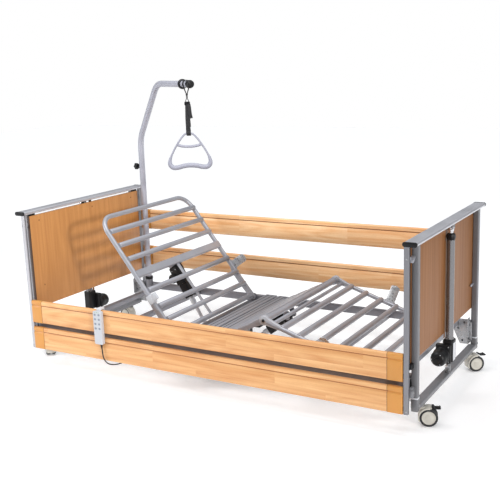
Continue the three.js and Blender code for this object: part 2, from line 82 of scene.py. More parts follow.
# Each fork under the deck: its two ends in x, then the place of its pin.
DRIVE_FORKS = ((-0.254, -0.19, -0.24, 0.125), (-0.015, 0.015, 0.0, 0.11))
GUSSET_BOLTS = ((0.99, 0.2), (1.02, 0.234), (1.046, 0.222), (1.044, 0.15), (1.012, 0.138))
LIFT_X = 1.071
MOTOR = (1.048, -0.03, 0.208)
CASTOR = {"x": 1.063, "y": 0.358, "radius": 0.04, "trail": 0.03, "top": 0.0967}
CASTOR_ANGLES = {"foot_near": 20, "foot_far": 40, "head_near": 142, "head_far": 172}
POLE = Vector((-0.965, 0.437, 0.0))
POLE_ARM = Vector((math.cos(math.radians(-30)), math.sin(math.radians(-30)), 0.0))
POLE_RADIUS = 0.017
ARM_HEIGHT = 1.448
ARM_REACH = 0.291
HOOK_REACH = 0.671
HANDLE_TURN = math.radians(30)
WEBBING_TOP, WEBBING_LOW = 1.352, 1.19
KNOT_HEIGHT = 1.394
CORD_RADIUS = 0.0032
SHARP_EDGE = math.radians(32.0)
CORD_ROUTE = (
    (-0.56, -0.516, 0.1857), (-0.558, -0.516, 0.15), (-0.55, -0.517, 0.11),
    (-0.532, -0.508, 0.084), (-0.5, -0.48, 0.076), (-0.45, -0.41, 0.092),
    (-0.4, -0.28, 0.1), (-0.37, -0.12, 0.104), (-0.345, 0.06, 0.108),
    (-0.318, 0.16, 0.128), (-0.278, 0.214, 0.156), (-0.2265, 0.225, 0.168),
)


# ---------- camera, lights, floor ----------
def make_camera():
    azimuth, elevation, roll = (math.radians(CAMERA[k]) for k in ("azimuth", "elevation", "roll"))
    back = Vector((math.sin(azimuth) * math.cos(elevation),
                   -math.cos(azimuth) * math.cos(elevation), math.sin(elevation)))
    right = Vector((math.cos(azimuth), math.sin(azimuth), 0.0))
    up = back.cross(right)
    turned_right = right * math.cos(roll) + up * math.sin(roll)
    turned_up = up * math.cos(roll) - right * math.sin(roll)
    matrix = Matrix((turned_right, turned_up, back)).transposed().to_4x4()
    matrix.translation = Vector(CAMERA["target"]) + back * CAMERA["distance"]
    data = bpy.data.cameras.new("camera")
    data.lens = CAMERA["lens"]
    camera = bpy.data.objects.new("camera", data)
    camera.matrix_world = matrix
    bpy.context.scene.collection.objects.link(camera)
    bpy.context.scene.camera = camera


def area_light(name, location, target, size, power):
    data = bpy.data.lights.new(name, "AREA")
    data.shape = "RECTANGLE"
    data.size, data.size_y = size
    data.energy = power
    light = bpy.data.objects.new(name, data)
    direction = Vector(target) - Vector(location)
    turned = direction.to_track_quat("-Z", "Y").to_matrix().to_4x4()
    light.matrix_world = Matrix.Translation(location) @ turned
    bpy.context.scene.collection.objects.link(light)


def make_studio():
    scene = bpy.context.scene
    scene.view_settings.view_transform = "Standard"
    # A dome that is bright overhead and dimmer round the sides, in front of a white backdrop.
    world = bpy.data.worlds.new("studio")
    world.use_nodes = True
    nodes, links = world.node_tree.nodes, world.node_tree.links
    dome = nodes["Background"]
    dome.inputs["Color"].default_value = (0.95, 0.97, 1.0, 1.0)
    height = nodes.new("ShaderNodeSeparateXYZ")
    links.new(nodes.new("ShaderNodeTexCoord").outputs["Generated"], height.inputs[0])
    level = height.outputs["Z"]
    steps = (("MAXIMUM", 0.0), ("POWER", 2.0), ("MULTIPLY", DOME["rise"]), ("ADD", DOME["horizon"]))
    for operation, value in steps:
        step = nodes.new("ShaderNodeMath")
        step.operation = operation
        links.new(level, step.inputs[0])
        step.inputs[1].default_value = value
        level = step.outputs[0]
    links.new(level, dome.inputs["Strength"])
    backdrop = nodes.new("ShaderNodeBackground")
    backdrop.inputs["Color"].default_value = (1.0, 1.0, 1.0, 1.0)
    choose = nodes.new("ShaderNodeMixShader")
    links.new(nodes.new("ShaderNodeLightPath").outputs["Is Camera Ray"], choose.inputs[0])
    links.new(dome.outputs[0], choose.inputs[1])
    links.new(backdrop.outputs[0], choose.inputs[2])
    links.new(choose.outputs[0], nodes["World Output"].inputs["Surface"])
    scene.world = world
    data = bpy.data.lights.new("key", "SUN")
    data.energy, data.angle, data.color = SUN["power"], SUN["angle"], SUN["colour"]
    key = bpy.data.objects.new("key", data)
    key.matrix_world = aim((0.0, 0.0, 0.0), SUN["from"])
    scene.collection.objects.link(key)
    area_light("side_fill", (-2.9, -2.7, 1.7), (-0.4, -0.4, 0.4), (1.6, 1.4), 52)
    area_light("overhead", (0.2, -0.5, 2.4), (0.0, 0.35, 0.4), (2.2, 0.5), 24)
    material = Graph("floor", 0.9, colour=FLOOR["colour"], Emission_Strength=FLOOR["glow"]).material
    mesh = bpy.data.meshes.new("floor")
    half = FLOOR["half"]
    corners = [(-half, -half, 0), (half, -half, 0), (half, half, 0), (-half, half, 0)]
    mesh.from_pydata(corners, [], [(0, 1, 2, 3)])
    mesh.materials.append(material)
    floor = bpy.data.objects.new("floor", mesh)
    scene.collection.objects.link(floor)


# ---------- materials ----------
def rgb(red, green, blue):
    """A display colour, 0 to 255, as the linear colour that a shader takes."""
    return tuple((c / 255 / 12.92) if c <= 10 else ((c / 255 + 0.055) / 1.055) ** 2.4
                 for c in (red, green, blue))


class Graph:
    """A principled material and the few node recipes that the looks below share."""

    def __init__(self, name, roughness, metallic=0.0, colour=(0.8, 0.8, 0.8), **sockets):
        self.material = bpy.data.materials.new(name)
        self.material.use_nodes = True
        self.tree = self.material.node_tree
        self.shader = self.tree.nodes["Principled BSDF"]
        self.put("Roughness", roughness)
        self.put("Metallic", metallic)
        self.put("Base Color", (*colour, 1.0))
        for socket, value in sockets.items():
            self.put(socket.replace("_", " "), value)
        self.place = self.add("ShaderNodeTexCoord").outputs["Object"]

    def put(self, socket, value):
        """Sets a socket of the shader to a value, or feeds it from another socket."""
        self.feed(self.shader.inputs[socket], value)

    def feed(self, socket, value):
        if isinstance(value, bpy.types.NodeSocket):
            self.tree.links.new(value, socket)
        else:
            socket.default_value = value

    def add(self, kind, inputs=None, **settings):
        node = self.tree.nodes.new(kind)
        for key, value in settings.items():
            setattr(node, key, value)
        for key, value in (inputs or {}).items():
            self.feed(node.inputs[key], value)
        return node

    def scaled(self, scale, source=None):
        return self.add("ShaderNodeMapping", {"Vector": source or self.place, "Scale": scale}).outputs[0]

    def noise(self, vector, scale=1.0, detail=3.0, roughness=0.5):
        return self.add("ShaderNodeTexNoise", {
            "Vector": vector, "Scale": scale, "Detail": detail, "Roughness": roughness}).outputs[0]

    def math(self, operation, first, second=0.0, clamp=False):
        node = self.add("ShaderNodeMath", {0: first, 1: second}, operation=operation, use_clamp=clamp)
        return node.outputs[0]

    def spread(self, value, low, high, to_low, to_high):
        limits = {"From Min": low, "From Max": high, "To Min": to_low, "To Max": to_high}
        return self.add("ShaderNodeMapRange", {"Value": value, **limits}).outputs[0]

    def mix(self, share, first, second, blend="MIX"):
        node = self.add("ShaderNodeMix", data_type="RGBA", blend_type=blend)
        self.feed(node.inputs[0], share)
        for index, value in ((6, first), (7, second)):
            self.feed(node.inputs[index], value if isinstance(value, bpy.types.NodeSocket) else (*value, 1.0))
        return node.outputs[2]

    def bump(self, height, strength, distance=0.001):
        self.put("Normal", self.add("ShaderNodeBump", {
            "Height": height, "Strength": strength, "Distance": distance}).outputs[0])


def toned(colour, factor):
    return tuple(min(1.0, c * factor) for c in colour)


def moulded(name, colour, roughness, grain=900.0, strength=0.25, shift=0.12, metallic=0.0, **sockets):
    """Plastic, paint or rubber: slight colour drift, uneven gloss and a fine moulded or sprayed grain."""
    graph = Graph(name, roughness, metallic, **sockets)
    drift = graph.spread(graph.noise(graph.place, 9.0, 4.0), 0.3, 0.7, 0.0, 1.0)
    graph.put("Base Color", graph.mix(drift, toned(colour, 1 - shift), toned(colour, 1 + shift)))
    smear = graph.noise(graph.place, 26.0, 5.0, 0.65)
    graph.put("Roughness", graph.spread(smear, 0.3, 0.7, roughness - 0.06, roughness + 0.08))
    graph.bump(graph.noise(graph.place, grain, 2.0), strength, 0.0004)
    return graph.material


def brushed(name, colour, roughness, along, metallic=0.9, shift=0.08):
    """Metal with fine lines along one axis."""
    graph = Graph(name, roughness, metallic)
    scale = [420.0, 420.0, 420.0]
    scale["XYZ".index(along)] = 6.0
    lines = graph.noise(graph.scaled(scale), 1.0, 4.0, 0.6)
    share = graph.spread(lines, 0.35, 0.65, 0.0, 1.0)
    graph.put("Base Color", graph.mix(share, toned(colour, 1 - shift), colour))
    cloud = graph.noise(graph.place, 7.0, 4.0)
    uneven = graph.math("MULTIPLY", graph.math("ADD", lines, cloud), 0.5)
    graph.put("Roughness", graph.spread(uneven, 0.35, 0.65, roughness - 0.07, roughness + 0.1))
    graph.bump(lines, 0.18, 0.0003)
    return graph.material


def zinc_plated(name, colour, roughness):
    """Galvanised sheet: crystal patches of slightly different tone and gloss."""
    graph = Graph(name, roughness, 0.9)
    crystals = graph.add("ShaderNodeTexVoronoi", {"Vector": graph.place, "Scale": 170.0}).outputs["Color"]
    tone = graph.add("ShaderNodeSeparateColor", {0: crystals}).outputs[0]
    stain_and_shade = graph.noise(graph.place, 30.0, 5.0, 0.6)
    blend = graph.math("MULTIPLY", graph.math("ADD", tone, stain_and_shade), 0.5)
    graph.put("Base Color", graph.mix(graph.spread(blend, 0.25, 0.75, 0.0, 1.0), toned(colour, 0.72), colour))
    graph.put("Roughness", graph.spread(tone, 0.0, 1.0, roughness - 0.1, roughness + 0.12))
    graph.bump(stain_and_shade, 0.12, 0.0005)
    return graph.material


def wood(name, light, dark, grain_axis, blocks=0.0, contrast=1.0, roughness=0.42):
    """Beech: long streaks, growth lines and short dark flecks along the grain.

    blocks is the length of the jointed pieces that a board is made of, or 0 for a whole board.
    """
    graph = Graph(name, roughness, Coat_Weight=0.12, Coat_Roughness=0.25)
    index = "XYZ".index(grain_axis)

    def stretched(along, across):
        scale = [across] * 3
        scale[index] = along
        return scale

    place = graph.place
    tone = 0.5
    if blocks:
        split = graph.add("ShaderNodeSeparateXYZ", {0: place}).outputs
        along, level = split[index], split[2]
        row = graph.math("FLOOR", graph.math("MULTIPLY", level, 7.3))
        number = graph.math("FLOOR", graph.math("ADD", graph.math("DIVIDE", along, blocks),
                                                graph.math("MULTIPLY", row, 0.37)))
        seed = graph.math("ADD", number, graph.math("MULTIPLY", row, 17.0))
        random_block = graph.add("ShaderNodeTexWhiteNoise", {"W": seed}, noise_dimensions="1D")
        tone = random_block.outputs["Value"]
        shift = graph.add("ShaderNodeVectorMath", {0: random_block.outputs["Color"], 1: (3.0, 3.0, 3.0)},
                          operation="MULTIPLY").outputs[0]
        place = graph.add("ShaderNodeVectorMath", {0: place, 1: shift}, operation="ADD").outputs[0]
    field = graph.noise(graph.scaled(stretched(0.9, 8.0), place), 1.0, 2.0, 0.4)
    rings = graph.math("PINGPONG", graph.math("MULTIPLY", field, 22.0), 1.0)
    streaks = graph.noise(graph.scaled(stretched(1.6, 75.0), place), 1.0, 5.0, 0.6)
    flecks = graph.noise(graph.scaled(stretched(70.0, 850.0), place), 1.0, 2.0, 0.5)
    fleck = graph.spread(flecks, 0.6, 0.72, 0.0, 0.3 * contrast)
    figure = graph.math("ADD", graph.math("MULTIPLY", rings, 0.3 * contrast),
                        graph.math("MULTIPLY", graph.spread(streaks, 0.3, 0.7, 0.0, 1.0), 0.55 * contrast))
    if blocks:
        figure = graph.math("ADD", figure, graph.spread(tone, 0.0, 1.0, -0.12, 0.12))
    base = graph.mix(graph.math("MULTIPLY", figure, 1.0, True), light, dark)
    graph.put("Base Color", graph.mix(fleck, base, toned(dark, 0.55)))
    graph.put("Roughness", graph.spread(streaks, 0.3, 0.7, roughness - 0.05, roughness + 0.08))
    graph.bump(graph.math("ADD", flecks, streaks), 0.1, 0.0004)
    return graph.material


def woven(name, colour, roughness):
    """Webbing: a fine two-way weave."""
    graph = Graph(name, roughness, Sheen_Weight=0.1, Sheen_Roughness=0.5)
    weave = None
    for direction in ("DIAGONAL", "Z"):
        wave = graph.add("ShaderNodeTexWave", {"Vector": graph.place, "Scale": 260.0, "Distortion": 1.2,
                                               "Detail Scale": 6.0}, bands_direction=direction).outputs["Fac"]
        weave = wave if weave is None else graph.math("MULTIPLY", weave, wave)
    fuzz = graph.noise(graph.place, 160.0, 4.0)
    level = graph.math("ADD", graph.math("MULTIPLY", weave, 0.7), graph.math("MULTIPLY", fuzz, 0.3))
    lighter = tuple(min(1.0, c * 2.0 + 0.008) for c in colour)
    graph.put("Base Color", graph.mix(level, colour, lighter))
    graph.bump(weave, 0.6, 0.0006)
    return graph.material


SILVER = moulded("silver_paint", (0.35, 0.355, 0.39), 0.35, 900.0, 0.05, 0.05, metallic=0.4)
POST_PAINT = moulded("post_paint", (0.165, 0.165, 0.175), 0.38, 1500.0, 0.1, 0.06, metallic=0.3)
BASE_PAINT = moulded("base_paint", (0.22, 0.22, 0.235), 0.38, 1500.0, 0.1, 0.06, metallic=0.3)
# Painted shade: near-black strips that stand for the grooves in the seat planks.
SLAT_GROOVE_SHADE = moulded("plank_groove_painted_shade", (0.065, 0.065, 0.07), 0.5, 900.0, 0.1, 0.06)
CAST_METAL = moulded("cast_bracket", (0.44, 0.445, 0.475), 0.4, 700.0, 0.12, 0.06, metallic=0.35)
SILVER_DARK = moulded("grey_paint", (0.235, 0.235, 0.26), 0.4, 1500.0, 0.1, 0.06, metallic=0.45)
POLE_PAINT = moulded("pole_paint", (0.37, 0.375, 0.43), 0.36, 900.0, 0.06, 0.04, metallic=0.15)
RAIL_METAL = brushed("rail_aluminium", (0.66, 0.66, 0.7), 0.34, "Y", 0.8)
# Lit and shaded copies of one guide aluminium: the brighter one is painted light for the head unit, the
# darker one painted shade for the foot unit.
GUIDE_PAINTED_LIGHT = brushed("guide_aluminium_painted_light", (0.5, 0.5, 0.53), 0.36, "Z", 0.4)
GUIDE_PAINTED_SHADE = brushed("guide_aluminium", (0.25, 0.25, 0.27), 0.36, "Z", 0.55)
SLAT_METAL = brushed("slat_aluminium", (0.36, 0.365, 0.4), 0.38, "Y", 0.4)
COLUMN_METAL = brushed("column_aluminium", (0.25, 0.245, 0.25), 0.22, "Z", 0.85)
CHROME = brushed("polished_steel", (0.78, 0.78, 0.8), 0.16, "Z", 1.0, 0.05)
ZINC = zinc_plated("zinc_sheet", (0.46, 0.465, 0.48), 0.36)
ZINC_LIGHT = zinc_plated("zinc_bright", (0.74, 0.745, 0.76), 0.34)
PANEL = wood("panel_laminate", rgb(193, 136, 78), rgb(165, 108, 56), "Z", contrast=0.9, roughness=0.46)
# Painted shade: a darker copy of the panel laminate for the outward face of each end panel.
PANEL_FACE_SHADE = wood("panel_face_painted_shade", rgb(146, 98, 56), rgb(124, 79, 42), "Z", contrast=0.9, roughness=0.55)
BOARD = wood("board_beech", rgb(232, 183, 127), rgb(194, 125, 64), "X", blocks=0.68, contrast=1.0)
# Painted light: a lighter copy of the same beech for the far boards, which are the same wood as the near
# ones.
BOARD_PAINTED_LIGHT = wood("board_beech_painted_light", rgb(248, 208, 160), rgb(220, 152, 88), "X", blocks=0.68, contrast=1.1)
# Painted shade: a darker beech strip that stands for the shade in each board's routed groove.
BOARD_SHADE_STRIP = wood("board_groove_painted_shade", rgb(166, 104, 52), rgb(134, 80, 38), "X", contrast=0.8)
# Edge band colour made very dark to carry the shade that falls on the panel edges: painted shade.
PANEL_EDGE_SHADE = wood("panel_edge_painted_shade", rgb(74, 46, 26), rgb(56, 34, 20), "Z", contrast=0.8, roughness=0.6)
CAP_YELLOW = moulded("cap_plastic", rgb(204, 142, 68), 0.38, 700.0, 0.1, 0.05, Subsurface_Weight=0.08)
BLACK = moulded("black_plastic", (0.006, 0.006, 0.007), 0.36, 900.0, 0.3, 0.2, Specular_IOR_Level=0.3)
TYRE = moulded("tyre_rubber", (0.016, 0.016, 0.018), 0.6, 1200.0, 0.4, 0.2)
BEIGE = moulded("castor_plastic", rgb(194, 190, 180), 0.42, 1000.0, 0.12, 0.04)
LIGHT = moulded("light_plastic", rgb(205, 207, 212), 0.4, 1000.0, 0.12, 0.04)
HANDLE = moulded("handle_plastic", rgb(150, 151, 164), 0.42, 800.0, 0.1, 0.04)
OFF_WHITE = moulded("handset_plastic", rgb(186, 189, 195), 0.4, 1100.0, 0.2, 0.03)
KEY = moulded("key_plastic", rgb(128, 136, 148), 0.45, 900.0, 0.15, 0.1)
GREEN_LAMP = moulded("lamp_plastic", rgb(86, 158, 96), 0.25, 900.0, 0.05, 0.1, Coat_Weight=0.5)
# One brown for the screw plugs and the joint lines at the board caps, also used for the painted shadow strip
# behind the lift column.
SEAM_PLUG_AND_SHADOW = moulded("seam_plug_and_painted_shadow", rgb(140, 94, 52), 0.6, 900.0, 0.2, 0.1)
WEBBING = woven("webbing", (0.006, 0.006, 0.007), 0.8)
RUBBER = moulded("cord_jacket", (0.012, 0.012, 0.013), 0.5, 1400.0, 0.3, 0.2)


# ---------- shapes ----------
def soften(part, width, segments=2):
    """Rounds the edges that are sharper than SHARP_EDGE."""
    edges = [e for e in part.edges if e.is_manifold and e.calc_face_angle(0.0) > SHARP_EDGE]
    if width > 0 and edges:
        bmesh.ops.bevel(part, geom=edges, offset=width, segments=segments, profile=0.5,
                        affect="EDGES", clamp_overlap=True)
    return part


def block(low, high, rounding=0.0015, segments=2):
    part = bmesh.new()
    size = Vector(high) - Vector(low)
    matrix = Matrix.Translation((Vector(low) + Vector(high)) / 2) @ Matrix.Diagonal((*size, 1.0))
    bmesh.ops.create_cube(part, size=1.0, matrix=matrix)
    return soften(part, min(rounding, min(size) * 0.45), segments)


def arc(centre, radius, start, end, steps):
    """Points on an arc, with its angles in degrees."""
    angles = [math.radians(start + (end - start) * i / steps) for i in range(steps + 1)]
    return [(centre[0] + radius * math.cos(a), centre[1] + radius * math.sin(a)) for a in angles]


def rounded(low, high, radius, steps=6):
    """The outline of a rectangle with round corners."""
    points = []
    for sign_u, sign_v, turn in ((1, 1, 0), (-1, 1, 90), (-1, -1, 180), (1, -1, 270)):
        u = (high[0] if sign_u > 0 else low[0]) - sign_u * radius
        v = (high[1] if sign_v > 0 else low[1]) - sign_v * radius
        points += arc((u, v), radius, turn, turn + 90, steps)
    return points


def mirrored(sign, near, far):
    """The low and high end of a span from near to far, on one side of the middle."""
    return sorted((sign * near, sign * far))


def outline_ring(part, outline, at, axis):
    """New points of an outline at a place on an axis: (y, z) for X, (x, z) for Y and (x, y) for Z."""
    index = "XYZ".index(axis)
    return [part.verts.new((*point[:index], at, *point[index:])) for point in outline]


def prism(outline, start, end, axis="Z", rounding=0.0, segments=2):
    """An outline pushed along an axis."""
    part = bmesh.new()
    rings = [outline_ring(part, outline, at, axis) for at in (start, end)]
    count = len(outline)
    for i in range(count):
        j = (i + 1) % count
        part.faces.new((rings[0][i], rings[0][j], rings[1][j], rings[1][i]))
    part.faces.new(rings[0])
    part.faces.new(rings[1])
    bmesh.ops.recalc_face_normals(part, faces=part.faces)
    return soften(part, rounding, segments)


def pipe_section(outer, inner, start, end, axis="Z"):
    """A hollow length between two outlines that have the same number of points."""
    part = bmesh.new()
    loops = ((outer, start), (outer, end), (inner, end), (inner, start))
    rings = [outline_ring(part, outline, at, axis) for outline, at in loops]
    count = len(outer)
    for a in range(4):
        for i in range(count):
            j = (i + 1) % count
            b = (a + 1) % 4
            part.faces.new((rings[a][i], rings[a][j], rings[b][j], rings[b][i]))
    bmesh.ops.recalc_face_normals(part, faces=part.faces)
    return part


def bent(points, setback, steps=10):
    """Straight runs through the points, with an arc at each corner that starts setback before it."""
    points = [Vector(p) for p in points]
    path = [points[0]]
    for before, corner, after in zip(points, points[1:], points[2:]):
        to_before = (before - corner).normalized()
        to_after = (after - corner).normalized()
        half = to_before.angle(to_after) / 2
        radius = setback * math.tan(half)
        centre = corner + (to_before + to_after).normalized() * (radius / math.sin(half))
        first = corner + to_before * setback - centre
        last = corner + to_after * setback - centre
        axis = first.cross(last).normalized()
        turn = first.angle(last)
        path += [centre + Matrix.Rotation(turn * i / steps, 3, axis) @ first for i in range(steps + 1)]
    return path + [points[-1]]


def curved(points, steps=8, closed=False):
    """A centripetal Catmull-Rom path through the points."""
    points = [Vector(p) for p in points]
    count = len(points)
    if closed:
        padded = [points[-1], *points, points[0], points[1]]
    else:
        padded = [points[0] * 2 - points[1], *points, points[-1] * 2 - points[-2]]
    path = []
    for i in range(count if closed else count - 1):
        p0, p1, p2, p3 = padded[i:i + 4]
        d0, d1, d2 = (max(math.sqrt((b - a).length), 1e-6) for a, b in ((p0, p1), (p1, p2), (p2, p3)))
        m1 = ((p1 - p0) / d0 - (p2 - p0) / (d0 + d1) + (p2 - p1) / d1) * d1
        m2 = ((p2 - p1) / d1 - (p3 - p1) / (d1 + d2) + (p3 - p2) / d2) * d1
        for k in range(steps):
            t = k / steps
            path.append(p1 + m1 * t + (p2 * 3 - p1 * 3 - m1 * 2 - m2) * t ** 2
                        + (p1 * 2 - p2 * 2 + m1 + m2) * t ** 3)
    return path if closed else path + [points[-1]]


def circle(radius, sides=24):
    return [(radius * math.cos(2 * math.pi * i / sides), radius * math.sin(2 * math.pi * i / sides))
            for i in range(sides)]


def swept(path, ring, closed=False, up=None):
    """A skin along a path. ring is an outline, or a function of the share of the path done that gives one."""
    path = [Vector(p) for p in path]
    count = len(path)
    part = bmesh.new()
    rings = []
    side = None
    for i, point in enumerate(path):
        if closed:
            tangent = (path[(i + 1) % count] - path[i - 1]).normalized()
        else:
            tangent = (path[min(i + 1, count - 1)] - path[max(i - 1, 0)]).normalized()
        if up is not None:
            side = tangent.cross(Vector(up)).normalized()
        elif side is None:
            side = tangent.orthogonal().normalized()
        else:
            side = (side - tangent * side.dot(tangent)).normalized()
        other = side.cross(tangent).normalized()
        outline = ring(i / max(1, count - (0 if closed else 1))) if callable(ring) else ring
        rings.append([part.verts.new(point + side * u + other * v) for u, v in outline])
    sides = len(rings[0])
    for a, b in zip(rings, rings[1:] + ([rings[0]] if closed else [])):
        for i in range(sides):
            j = (i + 1) % sides
            part.faces.new((a[i], a[j], b[j], b[i]))
    if not closed:
        part.faces.new(rings[0])
        part.faces.new(rings[-1])
    bmesh.ops.recalc_face_normals(part, faces=part.faces)
    return part


def tube(path, radius, sides=24, up=None):
    return swept(path, circle(radius, sides), up=up)


def lathe(profile, sides=40):
    """A profile of (radius, height) turned about Z. It starts and ends on the axis, or closes on itself."""
    part = bmesh.new()
    rings = []
    for radius, height in profile:
        if radius < 1e-7:
            rings.append([part.verts.new((0, 0, height))])
        else:
            rings.append([part.verts.new((u, v, height)) for u, v in circle(radius, sides)])
    pairs = list(zip(rings, rings[1:]))
    if len(rings[0]) > 1:
        pairs.append((rings[-1], rings[0]))
    for a, b in pairs:
        for i in range(sides):
            j = (i + 1) % sides
            corners = [a[i % len(a)], a[j % len(a)], b[j % len(b)], b[i % len(b)]]
            unique = list(dict.fromkeys(corners))
            if len(unique) > 2:
                part.faces.new(unique)
    bmesh.ops.recalc_face_normals(part, faces=part.faces)
    return part


def drum(radius, low, high, edge=0.0015, sides=40):
    """A short round body along Z with rounded rims."""
    rim = [(math.sin(a), 1 - math.cos(a)) for a in (0.0, 0.52, 1.05, math.pi / 2)]
    lower = [(radius - edge + edge * s, low + edge * c) for s, c in rim]
    upper = [(radius - edge + edge * s, high - edge * c) for s, c in reversed(rim)]
    return lathe([(0.0, low), *lower, *upper, (0.0, high)], sides)


def aim(origin, direction):
    """The matrix that puts local +Z along a direction from an origin."""
    return Matrix.Translation(origin) @ Vector(direction).to_track_quat("Z", "Y").to_matrix().to_4x4()


class Shape:
    """Closed solids gathered in one mesh, each with its own material."""

    def __init__(self, matrix=None):
        self.mesh = bmesh.new()
        self.looks = []
        self.matrix = matrix or Matrix.Identity(4)

    def add(self, part, look, matrix=None):
        """Takes in one closed solid, placed by a matrix in the shape's own frame."""
        if look not in self.looks:
            self.looks.append(look)
        for face in part.faces:
            face.material_index = self.looks.index(look)
        placed = self.matrix @ (matrix or Matrix.Identity(4))
        bmesh.ops.transform(part, matrix=placed, verts=part.verts)
        if placed.determinant() < 0:
            bmesh.ops.reverse_faces(part, faces=part.faces)
        carried = bpy.data.meshes.new("part")
        part.to_mesh(carried)
        part.free()
        self.mesh.from_mesh(carried)
        bpy.data.meshes.remove(carried)

    def bolt(self, origin, direction, radius=0.006, head=0.004, look=None):
        """A hexagon head on a washer, standing on a surface at origin."""
        matrix = aim(origin, direction)
        self.add(drum(radius * 1.25, -0.0003, 0.0012, 0.0004, 20), look or ZINC, matrix)
        self.add(prism(circle(radius, 6), 0.001, 0.0012 + head, "Z", 0.0006), look or ZINC, matrix)

    def screw(self, origin, direction, radius=0.004):
        """A domed head with a round recess."""
        profile = [(0.0, -0.0004), (radius, -0.0004), (radius, 0.0006), (radius * 0.8, 0.0018),
                   (radius * 0.45, 0.0024), (radius * 0.4, 0.0012), (0.0, 0.001)]
        self.add(lathe(profile, 20), ZINC, aim(origin, direction))

    def make(self, name, body, *nodes, slot=None, crease=34.0):
        """Turns the solids into one piece that rides on a body and stands for CAD nodes."""
        for face in self.mesh.faces:
            face.smooth = True
        for edge in self.mesh.edges:
            if edge.is_manifold and edge.calc_face_angle(0.0) > math.radians(crease):
                edge.smooth = False
        data = bpy.data.meshes.new(name)
        self.mesh.to_mesh(data)
        self.mesh.free()
        for look in self.looks:
            data.materials.append(look)
        piece = bpy.data.objects.new(name, data)
        bpy.context.scene.collection.objects.link(piece)
        if body:
            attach(piece, body)
        if nodes:
            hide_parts(*nodes)
        return piece


def unit_matrix(unit):
    """The head unit is the foot unit turned half round."""
    return Matrix.Rotation(math.pi if unit == "head" else 0.0, 4, "Z")


def side_name(sign):
    return "near" if sign < 0 else "far"


def unit_side(unit, sign):
    """The side of the bed that a side of the foot unit's drawing comes to lie on."""
    return side_name(sign if unit == "foot" else -sign)


# ---------- end units ----------
def end_rail(unit):
    low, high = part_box("foot_top_rail")
    cap = 0.004
    profile = rounded((low.x, low.z), (high.x, high.z), (high.z - low.z) / 2 - 0.0003, 8)
    rail = Shape(unit_matrix(unit))
    rail.add(prism(profile, low.y + cap, high.y - cap, "Y"), RAIL_METAL)
    rail.make(f"{unit}_rail_profile", "frame", f"{unit}_top_rail", slot="aluminium")
    grow = 0.0015
    cap_outline = rounded((low.x - grow, low.z - grow), (high.x + grow, high.z + grow),
                          (high.z - low.z) / 2 + grow - 0.0003, 8)
    caps = Shape(unit_matrix(unit))
    for sign in (-1, 1):
        ends = mirrored(sign, high.y - cap + 0.0002, high.y + 0.003)
        caps.add(prism(cap_outline, *ends, "Y", 0.0022, 3), BLACK)
    caps.make(f"{unit}_rail_caps", "frame", slot="black_plastic")


def end_panel(unit):
    low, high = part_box("foot_panel")
    panel = Shape(unit_matrix(unit))
    core = high.x - 0.004
    panel.add(block(low, (core, high.y, high.z), 0.001), PANEL)
    # The outward face is a darker copy of the same laminate: painted shade.
    inset = 0.0003
    outer_low = (core - 0.0002, low.y + inset, low.z + inset)
    panel.add(block(outer_low, (high.x, high.y - inset, high.z - inset), 0.001), PANEL_FACE_SHADE)
    # An edge band on each long edge, darkened with painted shade.
    for sign in (-1, 1):
        edge = high.y if sign > 0 else low.y
        ys = sorted((edge - sign * 0.0002, edge + sign * 0.0009))
        panel.add(block((low.x, ys[0], low.z), (high.x, ys[1], high.z), 0.0003), PANEL_EDGE_SHADE)
    panel.make(f"{unit}_panel_board", "frame", f"{unit}_panel", slot="panel_laminate")
    fittings = Shape(unit_matrix(unit))
    plugs = [(sign * 0.392, height) for sign in (-1, 1) for height in (high.z - 0.031, low.z + 0.113)]
    for y, z in (*plugs, (-0.037, high.z - 0.028)):
        fittings.add(drum(0.0048, 0.0, 0.001, 0.0005, 20), SEAM_PLUG_AND_SHADOW, aim((low.x + 0.0002, y, z), (-1, 0, 0)))
    # Spacers between the panel and the rail.
    for y0, y1 in ((-0.458, -0.415), (-0.036, -0.024), (0.024, 0.036), (0.415, 0.458)):
        fittings.add(block((low.x + 0.003, y0, high.z - 0.004), (high.x - 0.002, y1, high.z + 0.0098), 0.001),
                     BLACK)
    # Painted shadow: a thin brown strip behind the lift column stands for the column's shadow on the panel.
    strip = rounded((high.x + 0.0002, -0.02), (high.x + 0.0022, -0.006), 0.0009, 3)
    fittings.add(prism(strip, low.z - 0.022, high.z - 0.065, "Z", 0.0005), SEAM_PLUG_AND_SHADOW)
    fittings.make(f"{unit}_panel_fittings", "frame", slot="frame_paint")


def square(x, y, half, radius):
    return rounded((x - half, y - half), (x + half, y + half), radius)


def end_posts(unit):
    for sign in (-1, 1):
        post_tube(unit, sign)
        guide_rail(unit, sign)


